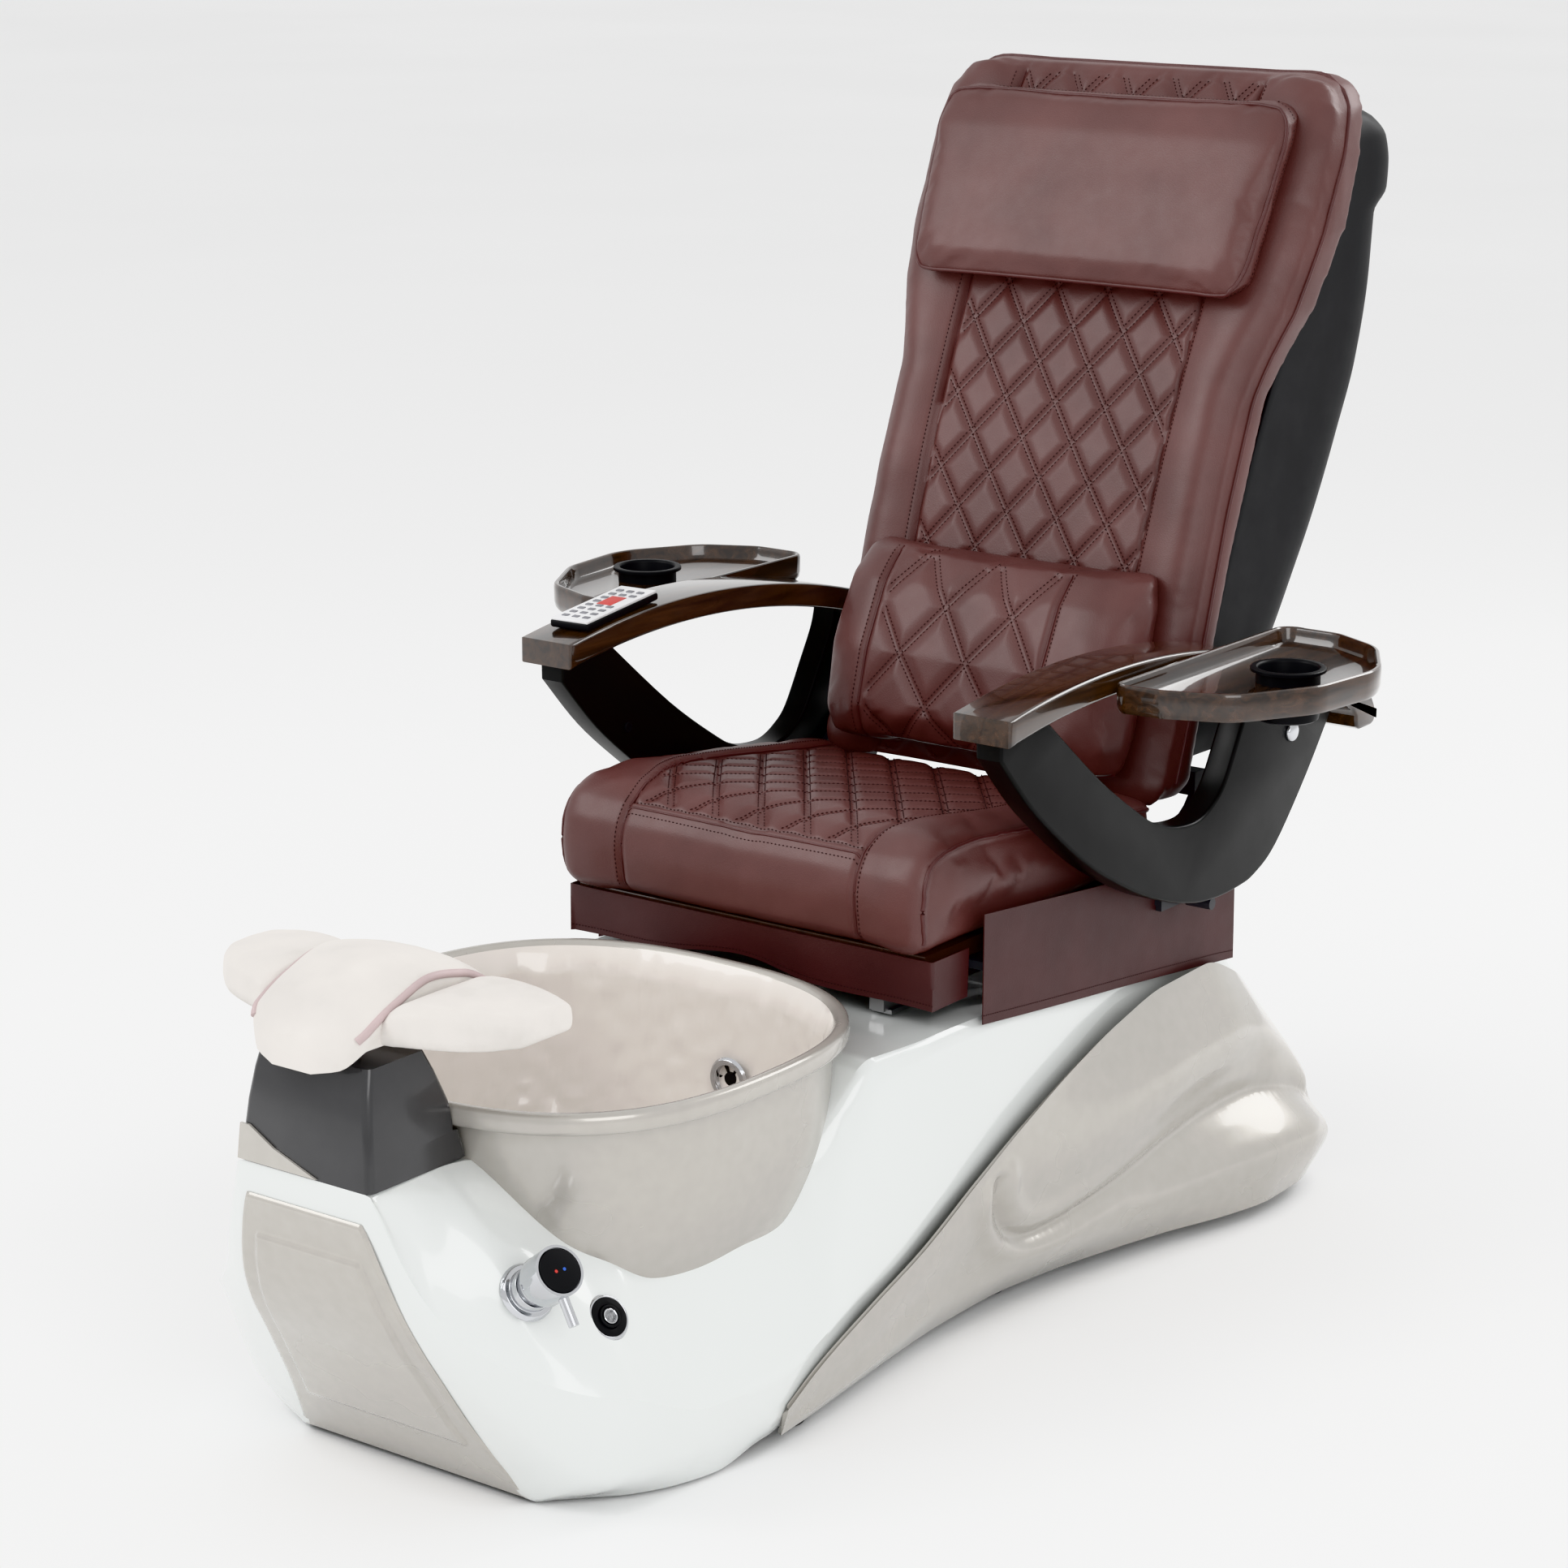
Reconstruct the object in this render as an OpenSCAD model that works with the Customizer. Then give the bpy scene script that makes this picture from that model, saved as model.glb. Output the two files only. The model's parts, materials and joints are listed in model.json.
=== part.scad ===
// Pedicure spa chair: reclining massage seat on a plumbed foot-bath base.
// Millimetres, +Z up, the sitter faces -Y, the middle plane is x = 0 and the feet stand on z = 0.

/* [Seat] */
// Half width of the seat cushion
seat_half_w = 265; // [250:1:272]
// Height of the seat cushion's underside
seat_bottom_z = 470; // [460:1:480]
// Distance between the two slide rails
rail_gap = 360; // [320:2:400]

/* [Arms] */
// Inner edge of an armrest
arm_in_x = 272; // [270:1:280]
// Outer edge of an armrest
arm_out_x = 350; // [340:1:356]
// Thickness of the armrest at its front end
arm_thick = 30; // [24:1:36]
// Thickness of the arm frame plate
frame_thick = 35; // [28:1:38]
// Height of the arm pivot
arm_pivot_z = 608; // [600:1:616]
// Distance from the origin to the arm pivot along Y
arm_pivot_y = 527; // [520:1:534]

/* [Trays] */
// Top of the tray rim
tray_top_z = 758; // [752:1:764]
// Height of the tray from its underside to its rim
tray_h = 34; // [28:1:38]
// Inner radius of the cup holder
cup_r = 34.5; // [33:0.5:36]
// Cup holder centre, sideways
cup_x = 470; // [460:1:480]
// Cup holder centre, along Y
cup_y = 268; // [255:1:280]

/* [Bowl] */
// Half width of the bowl at its rim
bowl_r = 285; // [275:1:290]
// Height of the bowl rim
bowl_top_z = 432; // [420:1:440]
// Thickness of the bowl wall
bowl_wall = 6; // [4:1:8]

/* [Base] */
// Wall thickness of the base shell
shell_t = 6; // [4:1:8]
// Radius of a levelling foot
foot_r = 24; // [16:1:26]
// Radius of the footrest post
post_r = 16; // [12:1:20]

/* [Controls] */
// Radius of the tap's wall plate
tap_plate_r = 31; // [26:1:34]
// Radius of the air switch bezel
switch_r = 26; // [22:1:30]

/* [Hidden] */
$fn = 48;
bowl_c = [0, -460];
bowl_power = 2.6;
bowl_sides = 48;
foot_pts = [[207, -610], [240, -385], [203, 60], [203, 480]];
back_pivot = [0, 400, 470];
rail_x = rail_gap / 2;
rail_z = 396;
frame_x0 = 295;
tap_at = [197, -760, 260];
tap_turn = [0, 54, -14];
switch_at = [232, -677, 213];
switch_turn = [0, 54, -10];
jet_at = [30, -201, 300];
post_y = -805;
back_lean = 20;

// Side line of the back's front face: y at a height z.
back_line = [[530, 342], [640, 382], [730, 412], [823, 441], [868, 455], [914, 472], [960, 490],
  [1005, 508], [1051, 527], [1110, 554], [1200, 596], [1300, 640], [1350, 664], [1392, 690]];
function back_y(z) = lookup(z, back_line);

function cr(a, b, c, d, t) =
  0.5 * ((2 * b) + t * (c - a) + t * t * (2 * a - 5 * b + 4 * c - d) + t * t * t * (3 * b - 3 * c + d - a));
function smooth(r, k) = let (n = len(r)) concat([for (i = [0:n - 2]) for (j = [0:k - 1])
  cr(r[max(i - 1, 0)], r[i], r[i + 1], r[min(i + 2, n - 1)], j / k)], [r[n - 1]]);
// A closed solid through rings of points, each ring with the same count.
module skin(rings) {
  n = len(rings[0]);
  m = len(rings);
  polyhedron(
    points = [for (r = rings) for (p = r) p],
    faces = concat(
      [[for (i = [0:n - 1]) i]],
      [for (j = [0:m - 2]) for (i = [0:n - 1]) [j * n + i, (j + 1) * n + i, (j + 1) * n + (i + 1) % n]],
      [for (j = [0:m - 2]) for (i = [0:n - 1]) [j * n + i, (j + 1) * n + (i + 1) % n, j * n + (i + 1) % n]],
      [[for (i = [n - 1:-1:0]) (m - 1) * n + i]]),
    convexity = 8);
}

module pair() {
  children();
  mirror([1, 0, 0]) children();
}

// ---------- base ----------

// Half sections of the base from the deck's middle down its side: y, then x and z of seven points.
// The last number is how far the front lip turns in.
base_rows = [
  [-872, [0, 374], [84, 374], [92, 372], [94, 366], [93, 354], [90, 338], 10],
  [-852, [0, 374], [84, 374], [108, 328], [130, 280], [124, 264], [113, 250], 10],
  [-833, [0, 374], [86, 374], [126, 306], [152, 238], [140, 218], [122, 205], 10],
  [-807, [0, 374], [88, 374], [150, 290], [186, 203], [160, 174], [127, 160], 10],
  [-772, [0, 374], [90, 374], [182, 282], [229, 174], [190, 122], [135, 100], 10],
  [-740, [0, 374], [92, 372], [190, 276], [261, 158], [216, 78], [150, 45], 10],
  [-712, [0, 370], [96, 366], [196, 268], [281, 150], [240, 52], [167, 4], 10],
  [-680, [0, 350], [115, 340], [204, 256], [291, 138], [260, 45], [195, 4], 10],
  [-640, [0, 325], [160, 302], [224, 238], [294, 118], [274, 45], [232, 4], 9],
  [-590, [0, 300], [200, 265], [238, 210], [295, 100], [284, 45], [258, 4], 9],
  [-540, [0, 300], [215, 262], [250, 205], [296, 95], [287, 42], [270, 4], 9],
  [-465, [0, 300], [225, 262], [258, 205], [296, 90], [290, 42], [274, 16], 9],
  [-400, [0, 300], [220, 268], [256, 205], [294, 104], [284, 50], [262, 16], 9],
  [-345, [0, 320], [235, 300], [263, 244], [291, 122], [278, 60], [250, 16], 9],
  [-300, [0, 350], [246, 345], [268, 298], [290, 136], [272, 70], [240, 16], 9],
  [-250, [0, 384], [258, 384], [276, 325], [290, 150], [268, 75], [232, 16], 9],
  [-150, [0, 386], [268, 384], [280, 325], [287, 190], [262, 90], [228, 16], 9],
  [-50, [0, 386], [268, 382], [280, 335], [284, 228], [258, 100], [226, 16], 9],
  [100, [0, 378], [264, 374], [276, 340], [280, 284], [250, 120], [226, 16], 9],
  [250, [0, 370], [258, 364], [268, 348], [272, 326], [245, 130], [226, 16], 9],
  [400, [0, 360], [250, 350], [262, 342], [265, 330], [240, 130], [226, 16], 9],
  [500, [0, 340], [244, 326], [256, 312], [260, 290], [238, 110], [226, 16], 9],
  [560, [0, 300], [236, 280], [250, 258], [254, 225], [236, 90], [224, 16], 9],
  [600, [0, 240], [228, 215], [240, 196], [244, 170], [232, 80], [222, 16], 9]];

function base_half(r, t) = concat([for (i = [1:6]) [r[i][0], r[0], r[i][1]]],
  [[r[6][0] - r[7], r[0], r[6][1]]]);
function base_in(r) = [
  [r[6][0] - r[7], r[0], r[6][1] + shell_t], [r[6][0] - shell_t, r[0], r[6][1] + shell_t],
  [r[5][0] - shell_t, r[0], r[5][1] + 1], [r[4][0] - shell_t, r[0], r[4][1]],
  [r[3][0] - shell_t, r[0], min(r[3][1], r[1][1]) - shell_t / 2],
  [r[2][0] - shell_t, r[0], r[2][1] - shell_t],
  [0, r[0], r[1][1] - shell_t]];
function base_ring(r) = let (o = base_half(r), i = base_in(r)) concat(
  [for (p = o) p], i,
  [for (k = [len(i) - 2:-1:0]) [-i[k][0], i[k][1], i[k][2]]],
  [for (k = [len(o) - 1:-1:1]) [-o[k][0], o[k][1], o[k][2]]]);

// Plan of the bowl at one height, s being its scale.
function bowl_ring(s, z, grow) = [for (k = [0:bowl_sides - 1]) let (a = 360 * k / bowl_sides,
  c = abs(cos(a)), d = abs(sin(a)),
  r = (bowl_r * s + grow) * pow(pow(c, bowl_power) + pow(d, bowl_power), -1 / bowl_power))
  [bowl_c[0] + r * cos(a), bowl_c[1] + r * sin(a), z]];
bowl_outside = [[0.20, 122], [0.42, 127], [0.60, 143], [0.74, 172], [0.84, 212], [0.90, 262], [0.938, 325],
  [0.95, 400]];

module bowl_void() {
  skin(concat([bowl_ring(0.2, 110, 0)], [for (s = bowl_outside) bowl_ring(s[0], s[1] - 2, 2)],
    [bowl_ring(0.96, 480, 2)]));
}

module base_shell() {
  color("white")
  resize([0, 0, 0])
  difference() {
    union() {
      skin([for (r = smooth(base_rows, 2)) base_ring(r)]);
      translate([-88, -872, 341]) cube([176, 9, 29]);
    }
    bowl_void();
    translate(tap_at) rotate(tap_turn) {
      translate([0, 0, -60]) cylinder(r = 17, h = 120);
      translate([0, 0, 2.8]) cylinder(r = tap_plate_r + 2, h = 40);
    }
    translate(switch_at) rotate(switch_turn) {
      translate([0, 0, -40]) cylinder(r = 14, h = 80);
      translate([0, 0, 2.8]) cylinder(r = switch_r + 2, h = 30);
    }
    translate([0, post_y, 300]) cylinder(r = post_r + 6, h = 120);
  }
}

// Pearl side panels: y, then x and z of the ridge, upper lobe, groove, lower lobe and floor edge.
pod_rows = [
  [-452, [298, 50], [296, 42], [293, 33], [291, 22], [288, 18]],
  [-400, [300, 80], [297, 62], [293, 46], [290, 28], [283, 18]],
  [-300, [301, 120], [297, 92], [291, 66], [286, 38], [271, 18]],
  [-200, [302, 157], [296, 120], [286, 86], [279, 48], [259, 18]],
  [-100, [302, 204], [298, 158], [284, 110], [274, 60], [250, 18]],
  [0, [302, 249], [306, 192], [287, 130], [275, 68], [248, 18]],
  [100, [301, 287], [318, 218], [300, 143], [290, 78], [258, 18]],
  [200, [299, 316], [328, 238], [306, 162], [306, 90], [278, 18]],
  [300, [296, 333], [334, 252], [308, 186], [328, 104], [303, 18]],
  [400, [292, 334], [334, 256], [310, 206], [352, 120], [335, 18]],
  [480, [286, 306], [326, 242], [316, 204], [370, 124], [352, 20]],
  [540, [278, 260], [320, 214], [332, 184], [376, 118], [352, 22]],
  [600, [266, 184], [316, 160], [334, 138], [362, 100], [338, 26]],
  [645, [256, 104], [296, 92], [312, 82], [328, 66], [308, 30]]];
function pod_ring(r) = concat(
  [[r[1][0] - 8, r[0], r[1][1] + 2]],
  [for (i = [1:5]) [r[i][0], r[0], r[i][1]]],
  [for (i = [5:-1:2]) [r[0] > 630 ? 246 : r[i][0] - 6, r[0], r[i][1]]],
  [[r[1][0] - 8, r[0], r[1][1] - 7]]);

module side_panel() {
  skin([for (r = smooth(pod_rows, 2)) pod_ring(r)]);
}

module side_panel_left() {
  color("tan") side_panel();
}

module side_panel_right() {
  color("tan") mirror([1, 0, 0]) side_panel();
}

// Front panel: height, half width and how far forward the face stands.
front_rows = [[8, 162, -714], [50, 146, -741], [100, 132, -772], [160, 124, -807], [205, 119, -833],
  [250, 110, -852], [300, 96, -865], [334, 84, -871]];
function front_ring(r, inset, y0, y1) = [[-(r[1] - inset), r[2] - y1, r[0]],
  [-(r[1] - inset), r[2] - y0, r[0]],
  [r[1] - inset, r[2] - y0, r[0]], [r[1] - inset, r[2] - y1, r[0]]];

module front_panel() {
  color("tan") {
    skin([for (r = smooth(front_rows, 2)) front_ring(r, 0, 3.9, 6.6)]);
    difference() {
      skin([for (r = smooth(front_rows, 2)) front_ring(r, 26, 6.6, 9.4)]);
      translate([-200, -900, -1]) cube([400, 300, 71]);
      translate([-200, -900, 296]) cube([400, 300, 80]);
    }
  }
}

module pedestal_cover() {
  color("dimgray")
  difference() {
    skin([
      [[-91, -872, 374.3], [91, -872, 374.3], [91, -722, 374.3], [-91, -722, 374.3]],
      [[-85, -866, 440], [85, -866, 440], [85, -740, 440], [-85, -740, 440]],
      [[-76, -853, 498], [76, -853, 498], [76, -768, 498], [-76, -768, 498]]]);
    translate([-68, -846, 370]) cube([136, 84, 118]);
    translate([0, post_y, 480]) cylinder(r = post_r + 3, h = 30);
    skin([bowl_ring(0.955, 360, 2), bowl_ring(0.955, 404, 2), bowl_ring(1.008, 407, 2),
      bowl_ring(1.008, 450, 2)]);
  }
}

module pedestal_trim() {
  color("tan")
  skin([
    [[-90, -872.4, 376], [20, -872.4, 376], [20, -875, 376], [-90, -875, 376]],
    [[-88.8, -870.8, 396], [-40, -870.8, 396], [-40, -873.5, 396], [-88.8, -873.5, 396]],
    [[-87.6, -869.2, 414], [-75, -869.2, 414], [-75, -872, 414], [-87.6, -872, 414]]]);
}

module bowl() {
  color("linen")
  difference() {
    union() {
      skin(concat([for (s = bowl_outside) bowl_ring(s[0], s[1], 0)],
        [bowl_ring(0.955, 408, 0), bowl_ring(1, 410, 0), bowl_ring(1.008, 420, 0), bowl_ring(1, 430, 0),
        bowl_ring(0.97, bowl_top_z, 0), bowl_ring(0.945, 426, 0), bowl_ring(0.938, 400, -bowl_wall),
        bowl_ring(0.928, 325, -bowl_wall), bowl_ring(0.89, 262, -bowl_wall),
        bowl_ring(0.83, 214, -bowl_wall),
        bowl_ring(0.73, 177, -bowl_wall), bowl_ring(0.59, 149, -bowl_wall),
        bowl_ring(0.42, 133, -bowl_wall),
        bowl_ring(0.22, 129, -bowl_wall)]));
    }
    translate([bowl_c[0], bowl_c[1], 100]) cylinder(r = 26, h = 40);
    translate(jet_at) rotate([-90, 0, 0]) {
      translate([0, 0, -30]) cylinder(r = 22, h = 60);
      translate([0, 0, -40]) cylinder(r = 28, h = 32.2);
    }
  }
}

module bowl_drain() {
  color("silver")
  translate([bowl_c[0], bowl_c[1], 0])
  difference() {
    union() {
      translate([0, 0, 129.5]) cylinder(r = 34, h = 3);
      translate([0, 0, 84]) cylinder(r = 25.6, h = 45.6);
    }
    translate([0, 0, 96]) cylinder(r = 21, h = 40);
    translate([0, 0, 80]) cylinder(r = 6, h = 40);
  }
}

module drain_stopper() {
  color("silver")
  translate([bowl_c[0], bowl_c[1], 0]) {
    translate([0, 0, 128]) cylinder(r = 20.5, h = 5);
    translate([0, 0, 90]) cylinder(r = 5.95, h = 39);
  }
}

// The jet's axis points out of the bowl's rear wall, towards the sitter's feet.
module at_jet() {
  translate(jet_at) rotate([90, 0, 0]) children();
}

module jet_housing() {
  color("silver") at_jet()
  difference() {
    union() {
      translate([0, 0, 8]) cylinder(r1 = 27, r2 = 24, h = 4);
      translate([0, 0, -34]) cylinder(r = 21.4, h = 42.5);
    }
    translate([0, 0, -20]) cylinder(r = 18, h = 40);
    translate([0, 0, -40]) cylinder(r = 4, h = 30);
  }
}

module jet_impeller() {
  color("silver") at_jet() {
    translate([0, 0, -29]) cylinder(r = 3.95, h = 20);
    translate([0, 0, -10]) cylinder(r = 8, h = 16);
    for (a = [0:60:300]) rotate([0, 0, a]) translate([6, -1.5, -6]) cube([11, 3, 10]);
  }
}

module at_tap() {
  translate(tap_at) rotate(tap_turn) children();
}

module tap_plate() {
  color("silver") at_tap()
  difference() {
    union() {
      translate([0, 0, 3]) cylinder(r1 = tap_plate_r, r2 = tap_plate_r - 3, h = 6);
      translate([0, 0, 8]) cylinder(r = 23, h = 14);
      translate([0, 0, -52]) cylinder(r = 16, h = 56);
    }
    translate([0, 0, 4]) cylinder(r = 12, h = 30);
  }
}

// The turning stem, with the cross pin that the handle tilts on.
module tap_collar() {
  color("silver") at_tap() {
    translate([0, 0, 5]) cylinder(r = 11.95, h = 18);
    translate([0, 0, 22.4]) cylinder(r = 20, h = 5.6);
    translate([0, 0, 27]) cylinder(r = 12, h = 18);
    translate([0, -25, 40]) rotate([-90, 0, 0]) cylinder(r = 3, h = 50);
  }
}

module tap_head() {
  color("silver") at_tap()
  difference() {
    union() {
      translate([0, 0, 36]) cylinder(r1 = 25, r2 = 27, h = 3);
      translate([0, 0, 38.9]) cylinder(r = 27, h = 35.1);
      translate([20, 0, 62]) rotate([0, 90, 0]) cylinder(r = 5.5, h = 36);
    }
    translate([0, 0, 30]) cylinder(r = 19, h = 36);
    translate([0, 0, 72]) cylinder(r = 24, h = 5);
    translate([0, -30, 40]) rotate([-90, 0, 0]) cylinder(r = 3.05, h = 60);
  }
}

module tap_cap() {
  color("black") at_tap() translate([0, 0, 72]) cylinder(r1 = 23.9, r2 = 22.5, h = 3.4);
}

module at_switch() {
  translate(switch_at) rotate(switch_turn) children();
}

module switch_bezel() {
  color("silver") at_switch()
  difference() {
    union() {
      translate([0, 0, 3]) cylinder(r1 = switch_r, r2 = switch_r - 3, h = 5);
      translate([0, 0, -24]) cylinder(r = 13.8, h = 28);
    }
    translate([0, 0, -18]) cylinder(r = 12.4, h = 40);
    translate([0, 0, -30]) cylinder(r = 3, h = 20);
    translate([0, 0, 6]) cylinder(r = 21, h = 5);
  }
}

module switch_ring() {
  color("black") at_switch()
  difference() {
    translate([0, 0, 6]) cylinder(r = 20.9, h = 2.4);
    translate([0, 0, 5]) cylinder(r = 12.9, h = 5);
  }
}

module air_button() {
  color("silver") at_switch()
  difference() {
    translate([0, 0, -11]) cylinder(r = 12.35, h = 21.6);
    translate([0, 0, 9.6]) cylinder(r = 9.6, h = 3);
  }
}

module levelling_feet() {
  color("black")
  for (p = foot_pts) pair() translate([p[0], p[1], 0]) {
    cylinder(r = foot_r, h = 12);
    translate([0, 0, 11]) cylinder(r = 7, h = 21);
  }
}

// Steel chassis: ground tubes, cross tubes, rail posts, control shelf and the sleeve of the footrest post.
module base_frame() {
  color("gray") {
    pair() translate([186, -640, 32]) cube([28, 1180, 30]);
    translate([-190, 60, 32]) cube([380, 30, 30]);
    translate([-190, 510, 32]) cube([380, 30, 30]);
    translate([-190, -640, 32]) cube([380, 30, 30]);
    pair() translate([213, -402, 32]) cube([40, 34, 6]);
    translate([-191, 245, 57]) cube([382, 140, 5.9]);
    pair() for (y = [-110, 180, 420]) {
      translate([rail_x - 12, y, 61]) cube([24, 30, y < 300 ? 300 : 268]);
      translate([rail_x - 12, y, 32]) cube([24, 30, 30]);
    }
    difference() {
      translate([0, post_y, 376]) cylinder(r = post_r + 6, h = 108);
      translate([0, post_y, 370]) cylinder(r = post_r + 0.06, h = 130);
    }
  }
}

module slide_rails() {
  color("silver")
  pair() {
    translate([rail_x - 10, -130, 392]) cube([20, 620, 14]);
    translate([rail_x - 14, -120, 387]) cube([28, 50, 5.1]);
    translate([rail_x - 14, 180, 374]) cube([28, 40, 18.1]);
    translate([rail_x - 14, 430, 354]) cube([28, 40, 38.1]);
  }
}

rear_side = [[222, 16], [232, 80], [244, 170], [240, 196], [228, 214]];
rear_outline = concat(rear_side, [[0, 238]],
  [for (k = [len(rear_side) - 1:-1:0]) [-rear_side[k][0], rear_side[k][1]]]);
module rear_panel() {
  color("dimgray")
  difference() {
    translate([0, 605.3, 0]) rotate([90, 0, 0]) linear_extrude(5) polygon(rear_outline);
    for (z = [70:18:130]) translate([-90, 590, z]) cube([180, 30, 7]);
    for (x = [-150, -100]) translate([x, 590, 40]) rotate([-90, 0, 0]) cylinder(r = 10.5, h = 30);
    translate([120, 590, 40]) rotate([-90, 0, 0]) cylinder(r = 19.5, h = 30);
  }
  color("silver")
  for (x = [-200, 200], z = [34, 176]) translate([x, 605.3, z]) rotate([-90, 0, 0]) cylinder(r = 5, h = 3);
}

// Rear hot and cold inlets and the waste outlet, as threaded spigots.
module inlets() {
  color("goldenrod")
  for (x = [-150, -100]) translate([x, 560, 40]) rotate([-90, 0, 0])
    difference() {
      union() {
        cylinder(r = 9, h = 50);
        translate([0, 0, 46]) cylinder(r = 15, h = 6);
        translate([0, 0, 52]) cylinder(r = 10, h = 30);
      }
      translate([0, 0, -1]) cylinder(r = 6, h = 90);
    }
}

module waste_outlet() {
  color("gray")
  translate([120, 560, 40]) rotate([-90, 0, 0])
    difference() {
      union() {
        cylinder(r = 18, h = 50);
        translate([0, 0, 46]) cylinder(r = 25, h = 6);
        translate([0, 0, 52]) cylinder(r = 19, h = 34);
      }
      translate([0, 0, -1]) cylinder(r = 15, h = 90);
    }
}

module valve_body() {
  color("goldenrod") {
    at_tap() translate([0, 0, -84]) cylinder(r = 17, h = 31.5);
    at_tap() translate([0, 0, -74]) rotate([90, 0, 0]) translate([0, 0, -30]) cylinder(r = 9, h = 60);
  }
}

module discharge_pump() {
  color("dimgray") {
    translate([0, -200, 66]) rotate([0, 90, 0]) translate([0, 0, -60]) cylinder(r = 32, h = 120);
    translate([-186, -236, 33]) cube([372, 72, 8]);
  }
}

module drain_pipe() {
  color("gray")
  difference() {
    union() {
      translate([0, -460, 60]) cylinder(r = 22, h = 23.6);
      translate([0, -460, 66]) rotate([-90, 0, 0]) cylinder(r = 18, h = 226);
    }
    translate([0, -460, 66]) cylinder(r = 18, h = 20);
  }
}

module control_box() {
  color("dimgray") translate([-90, 250, 63]) cube([180, 130, 90]);
}

// ---------- footrest ----------

module footrest_post() {
  color("silver") {
    translate([0, post_y, 392]) cylinder(r = post_r, h = 120.1);
    translate([-60, post_y - 34, 512]) cube([120, 74, 5]);
  }
}

// Right pad: sideways position, front and rear edge, underside and top.
pad_rows = [[62, -838, -690, 518, 538], [90, -836, -686, 519, 562], [125, -826, -682, 520, 566],
  [160, -812, -680, 521, 564], [188, -790, -682, 522, 560], [206, -770, -688, 523, 558]];
module footrest_pad() {
  skin([for (r = smooth(pad_rows, 2)) [[r[0], r[1] + 4, r[3]], [r[0], r[1], r[3] + 10],
    [r[0], r[1] + 2, r[4] - 10],
    [r[0], r[1] + 14, r[4] - 1], [r[0], (r[1] + r[2]) / 2, r[4]], [r[0], r[2] - 14, r[4] - 1],
    [r[0], r[2] - 2, r[4] - 10], [r[0], r[2], r[3] + 10], [r[0], r[2] - 4, r[3]]]]);
}

module footrest_pad_left() {
  color("linen") footrest_pad();
}

module footrest_pad_right() {
  color("linen") mirror([1, 0, 0]) footrest_pad();
}

// Saddle over both pads: distance along Y, half width, underside, top at the edge and top in the middle.
saddle_rows = [[-885, 26, 492, 512, 528], [-872, 60, 500, 522, 542], [-852, 76, 518, 540, 558],
  [-810, 77, 518, 560, 578], [-760, 77, 518, 574, 588], [-710, 77, 518, 566, 580],
  [-672, 72, 518, 548, 562],
  [-660, 60, 524, 540, 550]];
module footrest_saddle() {
  color("linen")
  resize([0, 0, 0])
  difference() {
    skin([for (r = smooth(saddle_rows, 2)) [[-r[1], r[0], r[2]], [-r[1], r[0], r[3]],
      [-r[1] * 0.6, r[0], r[4] - 3],
      [0, r[0], r[4]], [r[1] * 0.6, r[0], r[4] - 3], [r[1], r[0], r[3]], [r[1], r[0], r[2]]]]);
    pair() translate([61.5, -850, 510]) cube([40, 180, 46]);
    translate([-61, post_y - 35, 505]) cube([122, 76, 12.3]);
    translate([0, post_y, 480]) cylinder(r = post_r + 1, h = 34);
  }
}

// ---------- seat ----------

// Sliding frame with the skirt brackets and the pins that the back turns on.
module seat_frame() {
  color("gray") {
    pair() {
      translate([rail_x - 14, -100, 406.5]) cube([28, 60, 20]);
      translate([rail_x - 14, 300, 406.5]) cube([28, 60, 20]);
      translate([205, -120, 425]) cube([25, 480, 25]);
      translate([rail_x - 14, -100, 426]) cube([40, 60, 8]);
      translate([rail_x - 14, 300, 426]) cube([40, 60, 8]);
      translate([229.5, 340, 425]) cube([8, 90, 70]);
    }
    translate([-206, -120, 425]) cube([412, 25, 25]);
    translate([-206, 335, 425]) cube([412, 25, 25]);
    pair() for (y = [-50, 250]) translate([229, y, 436]) cube([46.8, 24, 10]);
    pair() translate([232, back_pivot[1], back_pivot[2]]) rotate([0, 90, 0]) cylinder(r = 8, h = 17.5);
  }
}

module seat_motor() {
  color("dimgray") {
    translate([-30, 60, 412]) cube([60, 110, 36]);
    translate([0, 169, 430]) rotate([-90, 0, 0]) cylinder(r = 8, h = 165);
  }
}

module seat_pan() {
  color("saddlebrown") translate([-250, -135, 450]) cube([500, 465, seat_bottom_z - 450.5]);
}

seat_side = [[-146, 470], [-162, 482], [-167, 520], [-163, 556], [-148, 582], [-120, 596], [-60, 599],
  [0, 593],
  [100, 581], [200, 567], [300, 553], [332, 546], [334, 500], [334, 470]];
function seat_ring(x, g) = [for (p = seat_side) [x, 85 + (p[0] - 85) * (1 - g / 240),
  530 + (p[1] - 530) * (1 - g / 62)]];

module seat_cushion() {
  color("maroon")
  translate([0, 0, seat_bottom_z - 470])
  skin([for (s = [[-1, 16], [-0.985, 6], [-0.93, 0], [0.93, 0], [0.985, 6], [1, 16]])
    seat_ring(seat_half_w * s[0], s[1])]);
}

module front_skirt() {
  color("maroon")
  translate([-256, -141, 409]) cube([512, 5, 60]);
}

module side_skirt() {
  translate([276, 0, 0]) rotate([90, 0, 90])
    linear_extrude(3) polygon([[-65, 378], [485, 320], [485, 440], [440, 462], [342, 470], [342, 430],
      [294, 430], [294, 474], [-65, 508]]);
}

module side_skirt_left() {
  color("maroon") side_skirt();
}

module side_skirt_right() {
  color("maroon") mirror([1, 0, 0]) side_skirt();
}

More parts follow.
